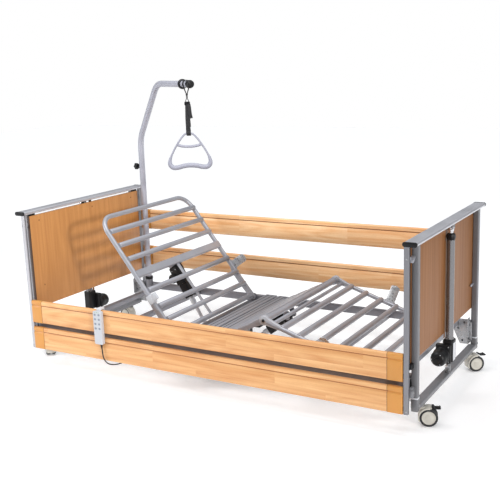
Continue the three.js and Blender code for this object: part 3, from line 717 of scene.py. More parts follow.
def post_tube(unit, sign):
    """A square tube with its two links and clip to the guide, and a glide bush for the inner leg."""
    side = unit_side(unit, sign)
    low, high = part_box(f"foot_post_{side_name(sign)}")
    half, wall, lip = POST_SIZE / 2, 0.0024, 0.0012
    x, y = high.x - half, sign * POST_Y
    post = Shape(unit_matrix(unit))
    tube = pipe_section(square(x, y, half, 0.004), square(x, y, half - wall, 0.002), low.z, high.z)
    post.add(tube, POST_PAINT)
    guide_low, guide_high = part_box(f"foot_guide_{side_name(sign)}")
    guide_inner = guide_low.y if sign > 0 else guide_high.y
    post_outer = sign * (POST_Y + half - 0.002)
    ys = sorted((post_outer, guide_inner))
    strap_ends = [(guide_inner, 0.743), (post_outer, 0.757), (post_outer, 0.769), (guide_inner, 0.755)]
    post.add(prism(strap_ends, x - 0.017, x + 0.003, "X", 0.001), SILVER)
    link_low, link_high = 0.166, 0.209
    link = ([(x - 0.017, link_low), (x + 0.003, link_low), (x + 0.003, link_high - 0.008)]
            + arc((x - 0.007, link_high - 0.01), 0.01, 0, 180, 12))
    post.add(prism(link, *ys, "Y", 0.001), BASE_PAINT)
    post.screw((x + 0.003, sum(ys) / 2, (link_low + link_high) / 2 - 0.002), (1, 0, 0), 0.004)
    if sign > 0:
        inner = POST_Y - half
        post.add(block((x - 0.011, inner - 0.04, 0.425), (x - 0.005, inner + 0.002, 0.437), 0.002), SILVER)
    post.add(block((x - 0.017, ys[0], 0.289), (x - 0.002, ys[1], 0.312), 0.002), BLACK)
    bush = pipe_section(square(x, y, half + lip, 0.005), square(x, y, 0.0113, 0.0022),
                        low.z - 0.0064, low.z - 0.0002)
    post.add(bush, LIGHT)
    post.make(f"{unit}_post_tube_{side}", "frame", f"{unit}_post_{side}", slot="frame_paint")


def guide_rail(unit, sign):
    """An extrusion with a T slot, which the sliders of the side-rail boards run in."""
    side = unit_side(unit, sign)
    low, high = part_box(f"foot_guide_{side_name(sign)}")
    slot_half, slot_depth, lip, undercut, corner = 0.0035, 0.013, 0.0025, 0.003, 0.004
    x0, x1, y0, y1 = low.x, high.x, low.y, high.y
    middle = (y0 + y1) / 2
    wide = slot_half + undercut
    round_side = (arc((x1 - corner, y1 - corner), corner, 90, 0, 5)
                  + arc((x1 - corner, y0 + corner), corner, 0, -90, 5))
    outline = [(x0, y0 + 0.001), (x0, middle - slot_half), (x0 + lip, middle - slot_half),
               (x0 + lip, middle - wide), (x0 + slot_depth, middle - wide), (x0 + slot_depth, middle + wide),
               (x0 + lip, middle + wide), (x0 + lip, middle + slot_half), (x0, middle + slot_half),
               (x0, y1 - 0.001), (x0 + 0.001, y1), *round_side, (x0 + 0.001, y0)]
    guide = Shape(unit_matrix(unit))
    # The head guides take the painted-light copy and the foot guides the painted-shade copy of the same
    # aluminium.
    guide.add(prism(outline, low.z + 0.002, high.z, "Z"), GUIDE_PAINTED_LIGHT if unit == "head" else GUIDE_PAINTED_SHADE)
    foot_cap = rounded((x0 - 0.0004, y0 - 0.0004), (x1 + 0.0004, y1 + 0.0004), 0.004)
    guide.add(prism(foot_cap, low.z, low.z + 0.0019, "Z", 0.0006), LIGHT)
    outside = y1 if sign > 0 else y0
    for height in (low.z + 0.014, 0.76):
        guide.screw((x0 + 0.012, outside, height), (0, sign, 0), 0.0035)
    guide.make(f"{unit}_guide_rail_{side}", "frame", f"{unit}_guide_{side}", slot="aluminium")


def end_base(unit):
    base = Shape(unit_matrix(unit))
    post_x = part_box("foot_post_near")[1].x - POST_SIZE / 2
    half = 0.015
    end_y = POST_Y - 0.012
    crossbar = block((post_x - 0.025, -end_y, 0.097), (post_x + half, end_y, 0.117), 0.003, 3)
    base.add(crossbar, BASE_PAINT)
    for sign in (-1, 1):
        y = sign * POST_Y
        base.add(prism(square(post_x, y, half, 0.005), 0.0945, 0.15, "Z", 0.0025, 3), POST_PAINT)
        base.add(prism(square(post_x, y, 0.011, 0.002), 0.149, 0.7, "Z", 0.0006), RAIL_METAL)
        base.bolt((post_x + half, y, 0.122), (1, 0, 0), 0.0055, 0.0035)
        plate = [(1.0545, 0.1165), (1.0755, 0.1165)] + arc((1.065, 0.147), 0.0105, 0, 180, 14)
        ys = mirrored(sign, 0.0083, 0.0135)
        base.add(prism(plate, *ys, "Y", 0.001), ZINC)
        base.bolt((1.0645, sign * 0.0135, 0.1475), (0, sign, 0), 0.0062, 0.004, CHROME)
    base.make(f"{unit}_base_frame", f"{unit}_base", f"{unit}_base", slot="frame_paint")


def end_lift(unit):
    lift_column(unit)
    lift_push_rod(unit)


def lift_column(unit):
    """Gear housing with its cross-wise motor and the outer tube of the lift drive."""
    drive = Shape(unit_matrix(unit))
    body = rounded((LIFT_X - 0.025, -0.031), (LIFT_X + 0.0245, 0.025), 0.011)
    drive.add(prism(body, 0.1755, 0.28, "Z", 0.005, 3), BLACK)
    drive.add(block((1.019, -0.0455, 0.172), (1.0895, -0.02, 0.262), 0.006, 3), BLACK)
    for x, z in ((1.03, 0.182), (1.08, 0.182), (1.08, 0.252)):
        drive.screw((x, -0.0454, z), (0, -1, 0), 0.003)
    # Light label plate without lettering.
    drive.add(block((LIFT_X + 0.024, -0.022, 0.182), (LIFT_X + 0.0252, 0.01, 0.266), 0.0005), LIGHT)
    # Short cross-wise motor with a stepped end cap.
    motor = [(0.0, 0.0), (0.0375, 0.0), (0.041, 0.004), (0.041, 0.015), (0.0385, 0.018), (0.0385, 0.03),
             (0.0365, 0.033), (0.0365, 0.06), (0.0345, 0.066), (0.0315, 0.0725), (0.026, 0.0775),
             (0.024, 0.0755), (0.012, 0.0755), (0.011, 0.0795), (0.0, 0.0815)]
    drive.add(lathe(motor), BLACK, aim(MOTOR, (0, -1, 0)))
    for turn in (60, 180, 300):
        angle = math.radians(turn)
        place = (MOTOR[0] + 0.0265 * math.cos(angle), MOTOR[1] - 0.0765, MOTOR[2] + 0.0265 * math.sin(angle))
        drive.screw(place, (0, -1, 0), 0.0025)
    drive.add(block((1.058, -0.0078, 0.1325), (1.07, 0.0078, 0.178), 0.002), ZINC)
    column = [(0.0, 0.276), (0.02, 0.276), (0.02, 0.286), (0.0175, 0.288), (0.0175, 0.744), (0.0108, 0.744),
              (0.0108, 0.3), (0.0, 0.3)]
    origin = Matrix.Translation((LIFT_X, 0.0, 0.0))
    drive.add(lathe(column, 56), COLUMN_METAL, origin)
    turn = Matrix.Rotation(math.radians(22.5), 4, "Z")
    collar = [(0.0108, 0.742), (0.0178, 0.742), (0.0198, 0.749), (0.0215, 0.757), (0.02, 0.767),
              (0.015, 0.7745), (0.0108, 0.7745)]
    drive.add(lathe(collar, 8), BLACK, origin @ turn)
    drive.make(f"{unit}_lift_column", f"{unit}_base", f"{unit}_lift_drive", slot="black_plastic")


def lift_push_rod(unit):
    """The rod that stands in the column, with its eye between two ears under the top rail."""
    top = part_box("foot_lift_rod")[1].z
    origin = Matrix.Translation((LIFT_X, 0.0, 0.0))
    rod = Shape(unit_matrix(unit))
    stem = [(0.0, 0.312), (0.0097, 0.312), (0.0099, 0.314), (0.0099, 0.788), (0.0, 0.788)]
    rod.add(lathe(stem, 32), CHROME, origin)
    rod.add(drum(0.0128, 0.783, 0.8, 0.0025, 32), CHROME, origin)
    rod.add(drum(0.012, -0.0075, 0.0075, 0.0015, 32), CHROME, aim((LIFT_X, 0.0, top - 0.013), (0, 1, 0)))
    for sign in (-1, 1):
        ys = mirrored(sign, 0.0085, 0.0125)
        ear = [(LIFT_X - 0.0185, top - 0.001), (LIFT_X - 0.0185, top - 0.016), (LIFT_X - 0.008, top - 0.0225),
               (LIFT_X + 0.008, top - 0.0225), (LIFT_X + 0.0135, top - 0.016), (LIFT_X + 0.0135, top - 0.001)]
        rod.add(prism(ear, *ys, "Y", 0.001), ZINC)
        rod.bolt((LIFT_X, sign * 0.0125, top - 0.013), (0, sign, 0), 0.0048, 0.0035, CHROME)
    rod.add(block((LIFT_X - 0.0188, -0.0128, top - 0.003), (LIFT_X + 0.0138, 0.0128, top), 0.0008), ZINC)
    rod.make(f"{unit}_lift_push_rod", "frame", f"{unit}_lift_rod", slot="zinc")


# ---------- castors ----------
def castor(station):
    """One castor, drawn with its stem on the Z axis and its wheels trailing along +X."""
    unit, side = station.split("_")
    sign_x = 1 if unit == "foot" else -1
    sign_y = 1 if side == "far" else -1
    matrix = (Matrix.Translation((sign_x * CASTOR["x"], sign_y * CASTOR["y"], 0.0))
              @ Matrix.Rotation(math.radians(CASTOR_ANGLES[station]), 4, "Z"))
    castor_hood(station, unit, side, matrix)
    castor_wheels(station, unit, side, matrix)
    brake_lever(station, unit, side, matrix)


def castor_hood(station, unit, side, matrix):
    trail, radius = CASTOR["trail"], CASTOR["radius"]
    axle = (trail, radius)
    housing = Shape(matrix)
    hood = arc(axle, 0.0457, 74, 208, 26) + arc(axle, 0.0427, 208, 74, 26)
    housing.add(prism(hood, -0.0245, 0.0245, "Y", 0.0011), BEIGE)
    for sign in (-1, 1):
        rim = arc(axle, 0.045, 82, 204, 24) + arc(axle, 0.0395, 204, 82, 24)
        ys = mirrored(sign, 0.0244, 0.0262)
        housing.add(prism(rim, *ys, "Y", 0.0008), BEIGE)
    web = arc(axle, 0.0425, 70, 215, 22) + [(trail - 0.004, 0.028), (trail + 0.01, 0.03)]
    housing.add(prism(web, -0.0062, 0.0062, "Y", 0.001), BEIGE)
    housing.add(drum(0.0125, -0.0062, 0.0062, 0.001), BEIGE, aim((trail, 0, radius), (0, 1, 0)))
    stem = [(0.0, 0.064), (0.0145, 0.064), (0.0145, 0.079), (0.0165, 0.081), (0.0165, 0.0855), (0.013, 0.087),
            (0.0115, 0.088), (0.0115, CASTOR["top"]), (0.0, CASTOR["top"])]
    housing.add(lathe(stem), BEIGE)
    ring = [(0.0117, 0.0872), (0.015, 0.0872), (0.0158, 0.0885), (0.015, 0.09), (0.0117, 0.09)]
    housing.add(lathe(ring), ZINC)
    part = f"{unit}_castor_{side}"
    housing.make(f"{station}_castor_hood", part, part, slot="castor_plastic")


def castor_wheels(station, unit, side, matrix):
    trail, radius = CASTOR["trail"], CASTOR["radius"]
    wheels = Shape(matrix)
    for sign in (-1, 1):
        out = aim((trail, sign * 0.0075, radius), (0, sign, 0))
        tyre = [(0.03, 0.001), (0.0375, 0.0005), (0.0393, 0.002), (radius, 0.005), (radius, 0.0125),
                (0.0392, 0.0155), (0.037, 0.017), (0.033, 0.0172), (0.0318, 0.016), (0.03, 0.014)]
        wheels.add(lathe(tyre, 56), TYRE, out)
        disc = [(0.0, 0.002), (0.0298, 0.002), (0.03, 0.015), (0.0294, 0.0166), (0.028, 0.017),
                (0.0262, 0.016), (0.025, 0.0158), (0.012, 0.017), (0.0105, 0.0182), (0.0, 0.0186)]
        wheels.add(lathe(disc, 56), BEIGE, out)
    wheels.add(drum(0.0052, -0.02, 0.02, 0.001, 24), ZINC, aim((trail, 0, radius), (0, 1, 0)))
    part = f"{unit}_wheels_{side}"
    wheels.make(f"{station}_twin_wheels", part, part, slot="castor_plastic")


def brake_lever(station, unit, side, matrix):
    """A flat lever with ribs and a raised tip."""
    pedal = Shape(matrix)
    outline = [(0.0425, 0.085), (0.047, 0.0835), (0.052, 0.079), (0.072, 0.0782), (0.08, 0.0792),
               (0.0815, 0.0808), (0.08, 0.0838), (0.078, 0.085), (0.0755, 0.0845), (0.073, 0.0822),
               (0.056, 0.0826), (0.0525, 0.088), (0.047, 0.0898), (0.0425, 0.0892)]
    pedal.add(prism(outline, -0.0165, 0.0165, "Y", 0.001, 2), BLACK)
    for i in range(4):
        at = 0.0585 + i * 0.0034
        pedal.add(block((at, -0.0125, 0.0805), (at + 0.0016, 0.0125, 0.0836), 0.0005), BLACK)
    part = f"{unit}_brake_pedal_{side}"
    pedal.make(f"{station}_brake_lever", part, part, slot="black_plastic")


# ---------- deck ----------
def deck():
    deck_tubes()
    pole_socket()
    deck_gussets()


def deck_tubes():
    """Side rails with end caps and hinge lugs, cross members, seat planks and the forks of the two drives."""
    low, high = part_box("deck_frame")
    rail_in, rail_out, rail_low, rail_high = (DECK[k] for k in ("inside", "outside", "bottom", "top"))
    lying = Shape()
    for sign in (-1, 1):
        ys = mirrored(sign, rail_in, rail_out)
        side_rail = block((low.x + 0.003, ys[0], rail_low), (high.x - 0.003, ys[1], rail_high), 0.003, 3)
        lying.add(side_rail, SILVER_DARK)
        for end in (-1, 1):
            xs = mirrored(end, high.x - 0.0031, high.x)
            lip = 0.0006
            cap_low = (xs[0], ys[0] - lip, rail_low - lip)
            lying.add(block(cap_low, (xs[1], ys[1] + lip, rail_high + lip), 0.0012), BLACK)
        back_hinge, thigh_hinge = HINGES
        lug = [(-0.214, 0.216), (0.032, 0.216), *arc(thigh_hinge, 0.017, -20, 120, 10), (-0.01, 0.246),
               (-0.17, 0.246), *arc(back_hinge, 0.017, 40, 200, 12)]
        lug_y = mirrored(sign, 0.3995, 0.4065)
        lying.add(prism(lug, *lug_y, "Y", 0.001), SILVER_DARK)
        for x, z in HINGES:
            lying.bolt((x, sign * 0.4065, z), (0, sign, 0), 0.0065, 0.004)
    welded = rail_in + 0.003
    for x in DECK_CROSS_X:
        member = block((x - 0.015, -welded, rail_low), (x + 0.015, welded, DECK["cross_top"]), 0.0025, 3)
        lying.add(member, SILVER_DARK)
    lying.add(block((0.971, -welded, 0.213), (0.989, welded, rail_high), 0.0025, 3), SILVER)
    for x0, x1 in ((-0.135, -0.065), (-0.053, 0.009)):
        slat = rounded((x0, 0.2335), (x1, 0.247), 0.004, 4)
        lying.add(prism(slat, -rail_in - 0.004, rail_in + 0.004, "Y", 0.0008), SLAT_METAL)
        # Two near-black strips on each plank stand for its grooves: painted shade.
        for share in (0.3, 0.7):
            x = x0 + (x1 - x0) * share
            line_end = rail_in - 0.004
            line = block((x - 0.0026, -line_end, 0.2455), (x + 0.0026, line_end, 0.2476), 0.0006)
            lying.add(line, SLAT_GROOVE_SHADE)
    for x0, x1, pin_x, pin_z in DRIVE_FORKS:
        for sign in (-1, 1):
            ys = mirrored(sign, 0.0132, 0.0178)
            plate = [(x1, 0.204), (x0, 0.204)] + arc((pin_x, pin_z), 0.0145, 190, 350, 14) + [(x1, 0.15)]
            lying.add(prism(plate, *ys, "Y", 0.001), ZINC)
            lying.bolt((pin_x, sign * 0.0178, pin_z), (0, sign, 0), 0.006, 0.004)
    lying.make("deck_frame_tubes", "frame", "deck_frame", slot="frame_paint")


def pole_socket():
    socket = Shape(Matrix.Translation((POLE.x, POLE.y, 0.0)))
    cup = [(0.0, 0.19), (0.0205, 0.19), (0.0225, 0.192), (0.0225, 0.258), (0.018, 0.258), (0.018, 0.2004),
           (0.0, 0.2004)]
    socket.add(lathe(cup), SILVER_DARK)
    bush = [(0.0176, 0.2585), (0.0228, 0.2585), (0.024, 0.262), (0.024, 0.27), (0.0215, 0.276),
            (0.0176, 0.276)]
    socket.add(lathe(bush), BLACK)
    socket.make("pole_socket", "frame", slot="frame_paint")


def deck_gussets():
    """A folded plate in each corner, between the deck and the end unit."""
    outline = [(0.966, 0.192), (0.97, 0.182), (0.999, 0.1205), (1.04, 0.1205), (1.0605, 0.144),
               (1.059, 0.235), (1.04, 0.25), (0.993, 0.242)]
    gussets = Shape()
    for sign_x in (-1, 1):
        for sign_y in (-1, 1):
            flip = Matrix.Diagonal((sign_x, sign_y, 1.0, 1.0))
            gussets.add(prism(outline, 0.4085, 0.4115, "Y", 0.0006), ZINC, flip)
            gussets.add(block((0.99, 0.411, 0.1925), (1.044, 0.434, 0.1955), 0.0006), ZINC, flip)
            gussets.add(block((1.044, 0.38, 0.172), (1.047, 0.4115, 0.262), 0.0008), ZINC, flip)
            # The bolt heads of the two corners with like signs both stand on the far foot plate.
            for x, z in GUSSET_BOLTS:
                place = (x, 0.4085, z)
                if sign_x * sign_y > 0:
                    gussets.bolt(place, (0, -1, 0), 0.004, 0.0026)
                else:
                    gussets.add(drum(0.0045, 0.0, 0.003, 0.0008, 20), ZINC, flip @ aim(place, (0, -1, 0)))
    gussets.make("deck_gussets", "frame", slot="zinc")


def control_unit():
    low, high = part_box("control_box")
    unit = Shape()
    middle = high.z - 0.018
    unit.add(block(low, (high.x, high.y, middle - 0.0008), 0.005, 3), BLACK)
    lid = block((low.x + 0.001, low.y + 0.001, middle), (high.x - 0.001, high.y - 0.001, high.z), 0.005, 3)
    unit.add(lid, BLACK)
    for i in range(5):
        x = low.x + 0.04 + i * 0.028
        socket = aim((x, low.y + 0.0002, middle - 0.022), (0, -1, 0))
        unit.add(drum(0.009, 0.0, 0.006, 0.001, 24), BLACK, socket)
    boot = [(0.0, -0.001), (0.0075, -0.001), (0.008, 0.0), (0.0075, 0.004), (0.0046, 0.02), (0.0038, 0.026),
            (0.0, 0.026)]
    unit.add(lathe(boot, 24), BLACK, aim((low.x + 0.001, 0.225, 0.168), (-0.9, -0.15, -0.1)))
    plate = block((low.x + 0.12, low.y + 0.03, high.z - 0.0004), (low.x + 0.18, low.y + 0.1, high.z + 0.0004),
                  0.0002)
    unit.add(plate, LIGHT)
    unit.make("control_unit", "frame", "control_box", slot="black_plastic")


# ---------- lying surface sections ----------
def frame_matrix(origin, along, across):
    """A frame at an origin with its local X and Y axes along two directions."""
    matrix = Matrix((along, across, along.cross(across))).transposed().to_4x4()
    matrix.translation = origin
    return matrix


def section_matrix(joint_name, angle, way=1):
    """Local +X runs from the hinge to the foot end (way 1) or the head end (way -1), local +Z stands up."""
    along = Vector((way * math.cos(angle), 0, math.sin(angle)))
    return frame_matrix(Vector(JOINTS[joint_name]["pos_m"]), along, Vector((0, way, 0)))


BACK_MATRIX = section_matrix("back_raise", BACK_ANGLE, -1)
THIGH_MATRIX = section_matrix("thigh_raise", THIGH_ANGLE)
LEG_MATRIX = section_matrix("leg_fold", LEG_ANGLE)


def cross_tube(shape, s, t, half, radius, look):
    """A slat tube with slightly necked, welded ends."""
    profile = [(0.0, -half), (radius * 0.9, -half), (radius, -half + 0.002), (radius, half - 0.002),
               (radius * 0.9, half), (0.0, half)]
    shape.add(lathe(profile, 28), look, aim((s, 0.0, t), (0, 1, 0)))


def back_section():
    y, radius = BACK["y"], BACK["tube"]
    section = Shape(BACK_MATRIX)
    corners = [(0.15, -y, 0), (BACK["length"], -y, 0), (BACK["length"], y, 0), (0.15, y, 0)]
    section.add(tube(bent(corners, 0.085, 14), radius, 28, up=(0, 0, 1)), SILVER)
    for s in BACK["slats"]:
        cross_tube(section, s, 0.0115, y - (0.006 if s > 0.05 else 0.01), 0.0134, SILVER)
    channel = [(-0.02, -0.006), (-0.02, 0.008), (-0.016, 0.012), (0.016, 0.012), (0.02, 0.008),
               (0.02, -0.006), (0.017, -0.006), (0.017, 0.006), (0.014, 0.009), (-0.014, 0.009),
               (-0.017, 0.006), (-0.017, -0.006)]
    bar = [(BACK_BAR + u, v + 0.005) for u, v in channel]
    section.add(prism(bar, -y - 0.002, y + 0.002, "Y"), SILVER)
    for sign in (-1, 1):
        # The lower part of each side is a pressed steel arm that carries the hinge.
        arm = [(0.0, -0.015), (0.12, -0.021), (0.186, -0.021), (0.212, -0.012), (0.212, 0.011),
               (0.12, 0.011), (0.0, 0.015), *arc((0.0, 0.0), 0.016, 90, 270, 10)[1:-1]]
        ys = mirrored(sign, y - 0.009, y + 0.009)
        section.add(prism(arm, *ys, "Y", 0.0025, 3), SILVER)
        section.bolt((0.0, sign * (y + 0.009), 0.0), (0, sign, 0), 0.0065, 0.003)
        ear = [(BACK_BAR - 0.016, 0.008), (BACK_BAR + 0.014, 0.008),
               *arc((BACK_BAR, -0.05), 0.014, 0, -180, 12)]
        ear_y = mirrored(sign, *DRIVE_EAR_Y)
        section.add(prism(ear, *ear_y, "Y", 0.001), SILVER_DARK)
    flat = rounded((0.034, 0.002), (0.052, 0.009), 0.0015, 3)
    section.add(prism(flat, 0.004, BACK_BAR - 0.018, "X", 0.0006), SLAT_METAL)
    section.make("back_section_frame", "back", "back_frame", slot="frame_paint")


def retainer(name, matrix, body, nodes, s, y, outward, height):
    """A bent sheet tab that keeps the mattress in place: a foot on the tube and a curved, rounded ear."""
    tab = Shape(matrix)
    path = curved([(s, y - outward * 0.001, -0.012), (s, y, 0.012), (s, y + outward * 0.008, 0.036),
                   (s, y + outward * 0.018, height - 0.012), (s, y + outward * 0.02, height)], 6)
    length = len(path) - 1

    def ring(share):
        done = min(1.0, share * length / (length - 1))
        width = 0.024 if done < 0.8 else 0.024 * math.sqrt(max(0.05, 1 - ((done - 0.8) / 0.21) ** 2))
        return rounded((-0.0012, -width), (0.0012, width), 0.001, 2)

    tab.add(swept(path, ring, up=(1, 0, 0)), ZINC_LIGHT)
    tab.add(block((s - 0.03, y - 0.003, -0.013), (s + 0.03, y + 0.0015, 0.013), 0.001), ZINC_LIGHT)
    for x in (-0.022, 0.022):
        tab.screw((s + x, y + outward * 0.0014, -0.004), (0, outward, 0), 0.0035)
    tab.make(name, body, *nodes, slot="zinc")


def retainers():
    stay_y = -BACK["y"] - 0.0135
    retainer("back_stay_far", BACK_MATRIX, "back", ("back_retainer_far",), 0.216, stay_y, -1, 0.088)
    retainer("leg_stay_far", LEG_MATRIX, "leg", ("leg_retainer_far",), 0.316, LEG["y"] + 0.0125, 1, 0.096)
    retainer("leg_stay_near", LEG_MATRIX, "leg", (), 0.316, -LEG["y"] - 0.0125, -1, 0.07)
    clip = Shape(BACK_MATRIX)
    y = BACK["y"]
    outline = rounded((y - 0.014, -0.016), (y + 0.0165, 0.02), 0.006, 5)
    clip.add(prism(outline, 0.192, 0.24, "X", 0.003, 3), OFF_WHITE)
    clip.add(block((0.198, y + 0.004, 0.018), (0.234, y + 0.0155, 0.052), 0.003, 3), OFF_WHITE)
    clip.make("back_stay_near", "back", "back_retainer_near", slot="zinc")


def thigh_section():
    y, length = THIGH["y"], THIGH["length"]
    section = Shape(THIGH_MATRIX)
    for sign in (-1, 1):
        side = [(0.003, -0.012), (0.06, -0.013), (0.23, -0.011), (length - 0.02, -0.018),
                *arc((length, 0.0), 0.021, -110, 110, 18), (length - 0.02, 0.018), (0.23, 0.009),
                (0.003, 0.009)]
        ys = mirrored(sign, y - 0.0085, y + 0.0085)
        section.add(prism(side, *ys, "Y", 0.0018, 3), SILVER)
        disc = aim((length, sign * (y + 0.0085), 0.0), (0, sign, 0))
        section.add(drum(0.019, 0.0, 0.0015, 0.0005), ZINC, disc)
        ear = [(0.218, 0.004), (0.25, 0.004)] + arc((0.234, -0.058), 0.013, 0, -180, 12)
        ear_y = mirrored(sign, *DRIVE_EAR_Y)
        section.add(prism(ear, *ear_y, "Y", 0.001), SILVER_DARK)
    knee_tube = [(0.0, -y), (0.0148, -y), (0.0148, y), (0.0, y)]
    section.add(lathe(knee_tube, 32), SILVER, aim((length, 0, 0), (0, 1, 0)))
    for start, end in ((0.008, 0.078), (0.094, 0.162), (0.178, 0.262)):
        slat = rounded((start, -0.0015), (end, 0.012), 0.004, 4)
        section.add(prism(slat, -y - 0.007, y + 0.007, "Y", 0.0008), SLAT_METAL)
    section.make("thigh_section_frame", "thigh", "thigh_frame", slot="frame_paint")


def leg_section():
    y, radius, length = LEG["y"], LEG["tube"], LEG["length"]
    section = Shape(LEG_MATRIX)
    corners = [(0.012, -y, 0), (length, -y, 0), (length, y, 0), (0.012, y, 0)]
    section.add(tube(bent(corners, 0.08, 14), radius, 26, up=(0, 0, 1)), SILVER)
    cross_tube(section, 0.042, -0.003, y - 0.002, 0.0095, SILVER)
    for s in LEG["slats"]:
        cross_tube(section, s, 0.002, y + 0.003, 0.0146, SILVER)
    for sign in (-1, 1):
        casting = [*arc((0.0, 0.0), 0.0235, 50, 310, 22), (0.038, -0.0155), (0.066, -0.0118),
                   (0.092, -0.0112), (0.092, 0.0112), (0.066, 0.0118), (0.038, 0.0155)]
        ys = mirrored(sign, y - 0.0105, y + 0.008)
        section.add(prism(casting, *ys, "Y", 0.003, 3), CAST_METAL)
        cap_place = aim((0.0, sign * (y + 0.0078), 0.0), (0, sign, 0))
        section.add(drum(0.013, 0.0, 0.0018, 0.0006, 32), ZINC, cap_place)
        section.bolt((0.0, sign * (y + 0.0095), 0.0), (0, sign, 0), 0.006, 0.0035, BLACK)
    section.make("leg_section_frame", "leg", "leg_frame", slot="frame_paint")


def section_drive(name, top, foot, body_length):
    """Linear drive: gear housing and cross motor at the eye end, outer tube, push rod with a fork eye."""
    top, foot = Vector((top[0], 0, top[1])), Vector((foot[0], 0, foot[1]))
    matrix = frame_matrix(top, (foot - top).normalized(), Vector((0, 1, 0)))
    reach = (foot - top).length
    down_axis = aim((0, 0, 0), (1, 0, 0))
    drive = Shape(matrix)
    body = rounded((0.012, -0.029), (0.0965, 0.025), 0.01, 5)
    drive.add(prism(body, -0.0295, 0.0295, "Y", 0.004, 3), BLACK)
    drive.add(block((0.024, -0.0303, -0.02), (0.094, 0.0303, 0.016), 0.002), BLACK)
    # The outer tube has a bore, which the rod slides in.
    bore = rounded((-0.0113, -0.0113), (0.0113, 0.0113), 0.0113)
    shoulder = rounded((-0.029, -0.0285), (0.029, 0.0245), 0.009)
    shell = rounded((-0.0215, -0.026), (0.0215, 0.026), 0.008)
    drive.add(pipe_section(shoulder, bore, 0.096, 0.118, "X"), BLACK)
    drive.add(pipe_section(shell, bore, 0.1175, body_length, "X"), BLACK)
    cross_motor = aim((0.072, 0, -0.024), (0, 1, 0))
    drive.add(drum(0.0255, -0.047, 0.047, 0.006, 40), BLACK, cross_motor)
    drive.add(drum(0.019, -0.052, 0.052, 0.003, 32), BLACK, cross_motor)
    drive.add(drum(0.0125, -0.0115, 0.0115, 0.002, 28), BLACK, aim((0, 0, 0), (0, 1, 0)))
    drive.add(block((0.0, -0.0115, -0.009), (0.02, 0.0115, 0.009), 0.002), BLACK)
    for s in (0.034, 0.086):
        for t in (-0.016, 0.012):
            for sign in (1, -1):
                drive.screw((s, sign * 0.0302, t), (0, sign, 0), 0.003)
    collar = [(0.0106, body_length - 0.006), (0.0142, body_length - 0.006), (0.015, body_length),
              (0.015, body_length + 0.032), (0.0135, body_length + 0.04), (0.0106, body_length + 0.04)]
    drive.add(lathe(collar), LIGHT, down_axis)
    drive.make(f"{name}_motor_unit", f"{name}_drive", f"{name}_drive", slot="black_plastic")
    rod = Shape(matrix)
    stem = [(0.0, body_length), (0.0098, body_length), (0.0098, reach - 0.01), (0.0, reach - 0.01)]
    rod.add(lathe(stem, 28), RAIL_METAL, down_axis)
    rod.add(drum(0.0128, -0.0088, 0.0088, 0.002, 28), LIGHT, aim((reach, 0, 0), (0, 1, 0)))
    eye_neck = [(0.0, reach - 0.04), (0.0112, reach - 0.04), (0.012, reach - 0.036), (0.012, reach - 0.008),
                (0.0, reach - 0.008)]
    rod.add(lathe(eye_neck, 28), LIGHT, down_axis)
    rod.make(f"{name}_push_rod", f"{name}_drive_rod", f"{name}_drive_rod", slot="light_plastic")


# ---------- side rails ----------
def board(node):
    """A moulded beech board with a plastic cap and slider at each end."""
    low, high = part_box(node)
    height, width = high.z - low.z, high.y - low.y

    def outline(grow=0.0):
        """The section with a routed groove near the top of each face, grown by a small amount all round."""
        w, h = width, height
        right = [(w - 0.003, 0), (w, 0.003), (w, h - 0.0345), (w - 0.0052, h - 0.0275),
                 (w - 0.0052, h - 0.0246), (w - 0.0004, h - 0.0224),
                 *arc((w - 0.0085, h - 0.01), 0.0085, 0, 90, 8)]
        left = [(w - u, v) for u, v in reversed(right)]
        return [(low.y + u + math.copysign(grow, u - w / 2), low.z + v + math.copysign(grow, v - h / 2))
                for u, v in right + left]

    cap = 0.062
    wooden = Shape()
    # The far boards take the lighter copy of the beech: painted light.
    look = BOARD_PAINTED_LIGHT if node.startswith("far") else BOARD
    wooden.add(prism(outline(), low.x + cap, high.x - cap, "X"), look)
    # A dark strip in the groove on each face: painted shade.
    for y in (low.y + 0.0049, high.y - 0.0049):
        shade_strip_high = (high.x - cap, y + 0.0008, high.z - 0.0242)
        stain_and_shade = block((low.x + cap, y - 0.0008, high.z - 0.0282), shade_strip_high, 0.0003)
        wooden.add(stain_and_shade, BOARD_SHADE_STRIP)
    wooden.make(f"{node}_beech", node, node, slot="board_wood", crease=50.0)
    ends = Shape()
    for sign in (-1, 1):
        xs = mirrored(sign, high.x - cap - 0.004, high.x)
        ends.add(prism(outline(0.0009), *xs, "X", 0.0008), CAP_YELLOW)
        seam_x = mirrored(sign, high.x - cap - 0.0042, high.x - cap - 0.0066)
        ends.add(prism(outline(0.0003), *seam_x, "X"), SEAM_PLUG_AND_SHADOW)
        slider_x = mirrored(sign, high.x - 0.001, high.x + 0.0024)
        y = (low.y + high.y) / 2
        for z in (low.z + 0.022, high.z - 0.022):
            ends.add(block((slider_x[0], y - 0.0032, z - 0.01), (slider_x[1], y + 0.0032, z + 0.01), 0.0008),
                     BLACK)
    ends.make(f"{node}_end_caps", node, slot="board_wood", crease=50.0)


# ---------- lifting pole ----------
def on_arm(reach, height):
    """A point on the plane of the pole's arm, at a reach from the pole's axis."""
    return POLE + POLE_ARM * reach + Vector((0, 0, height))


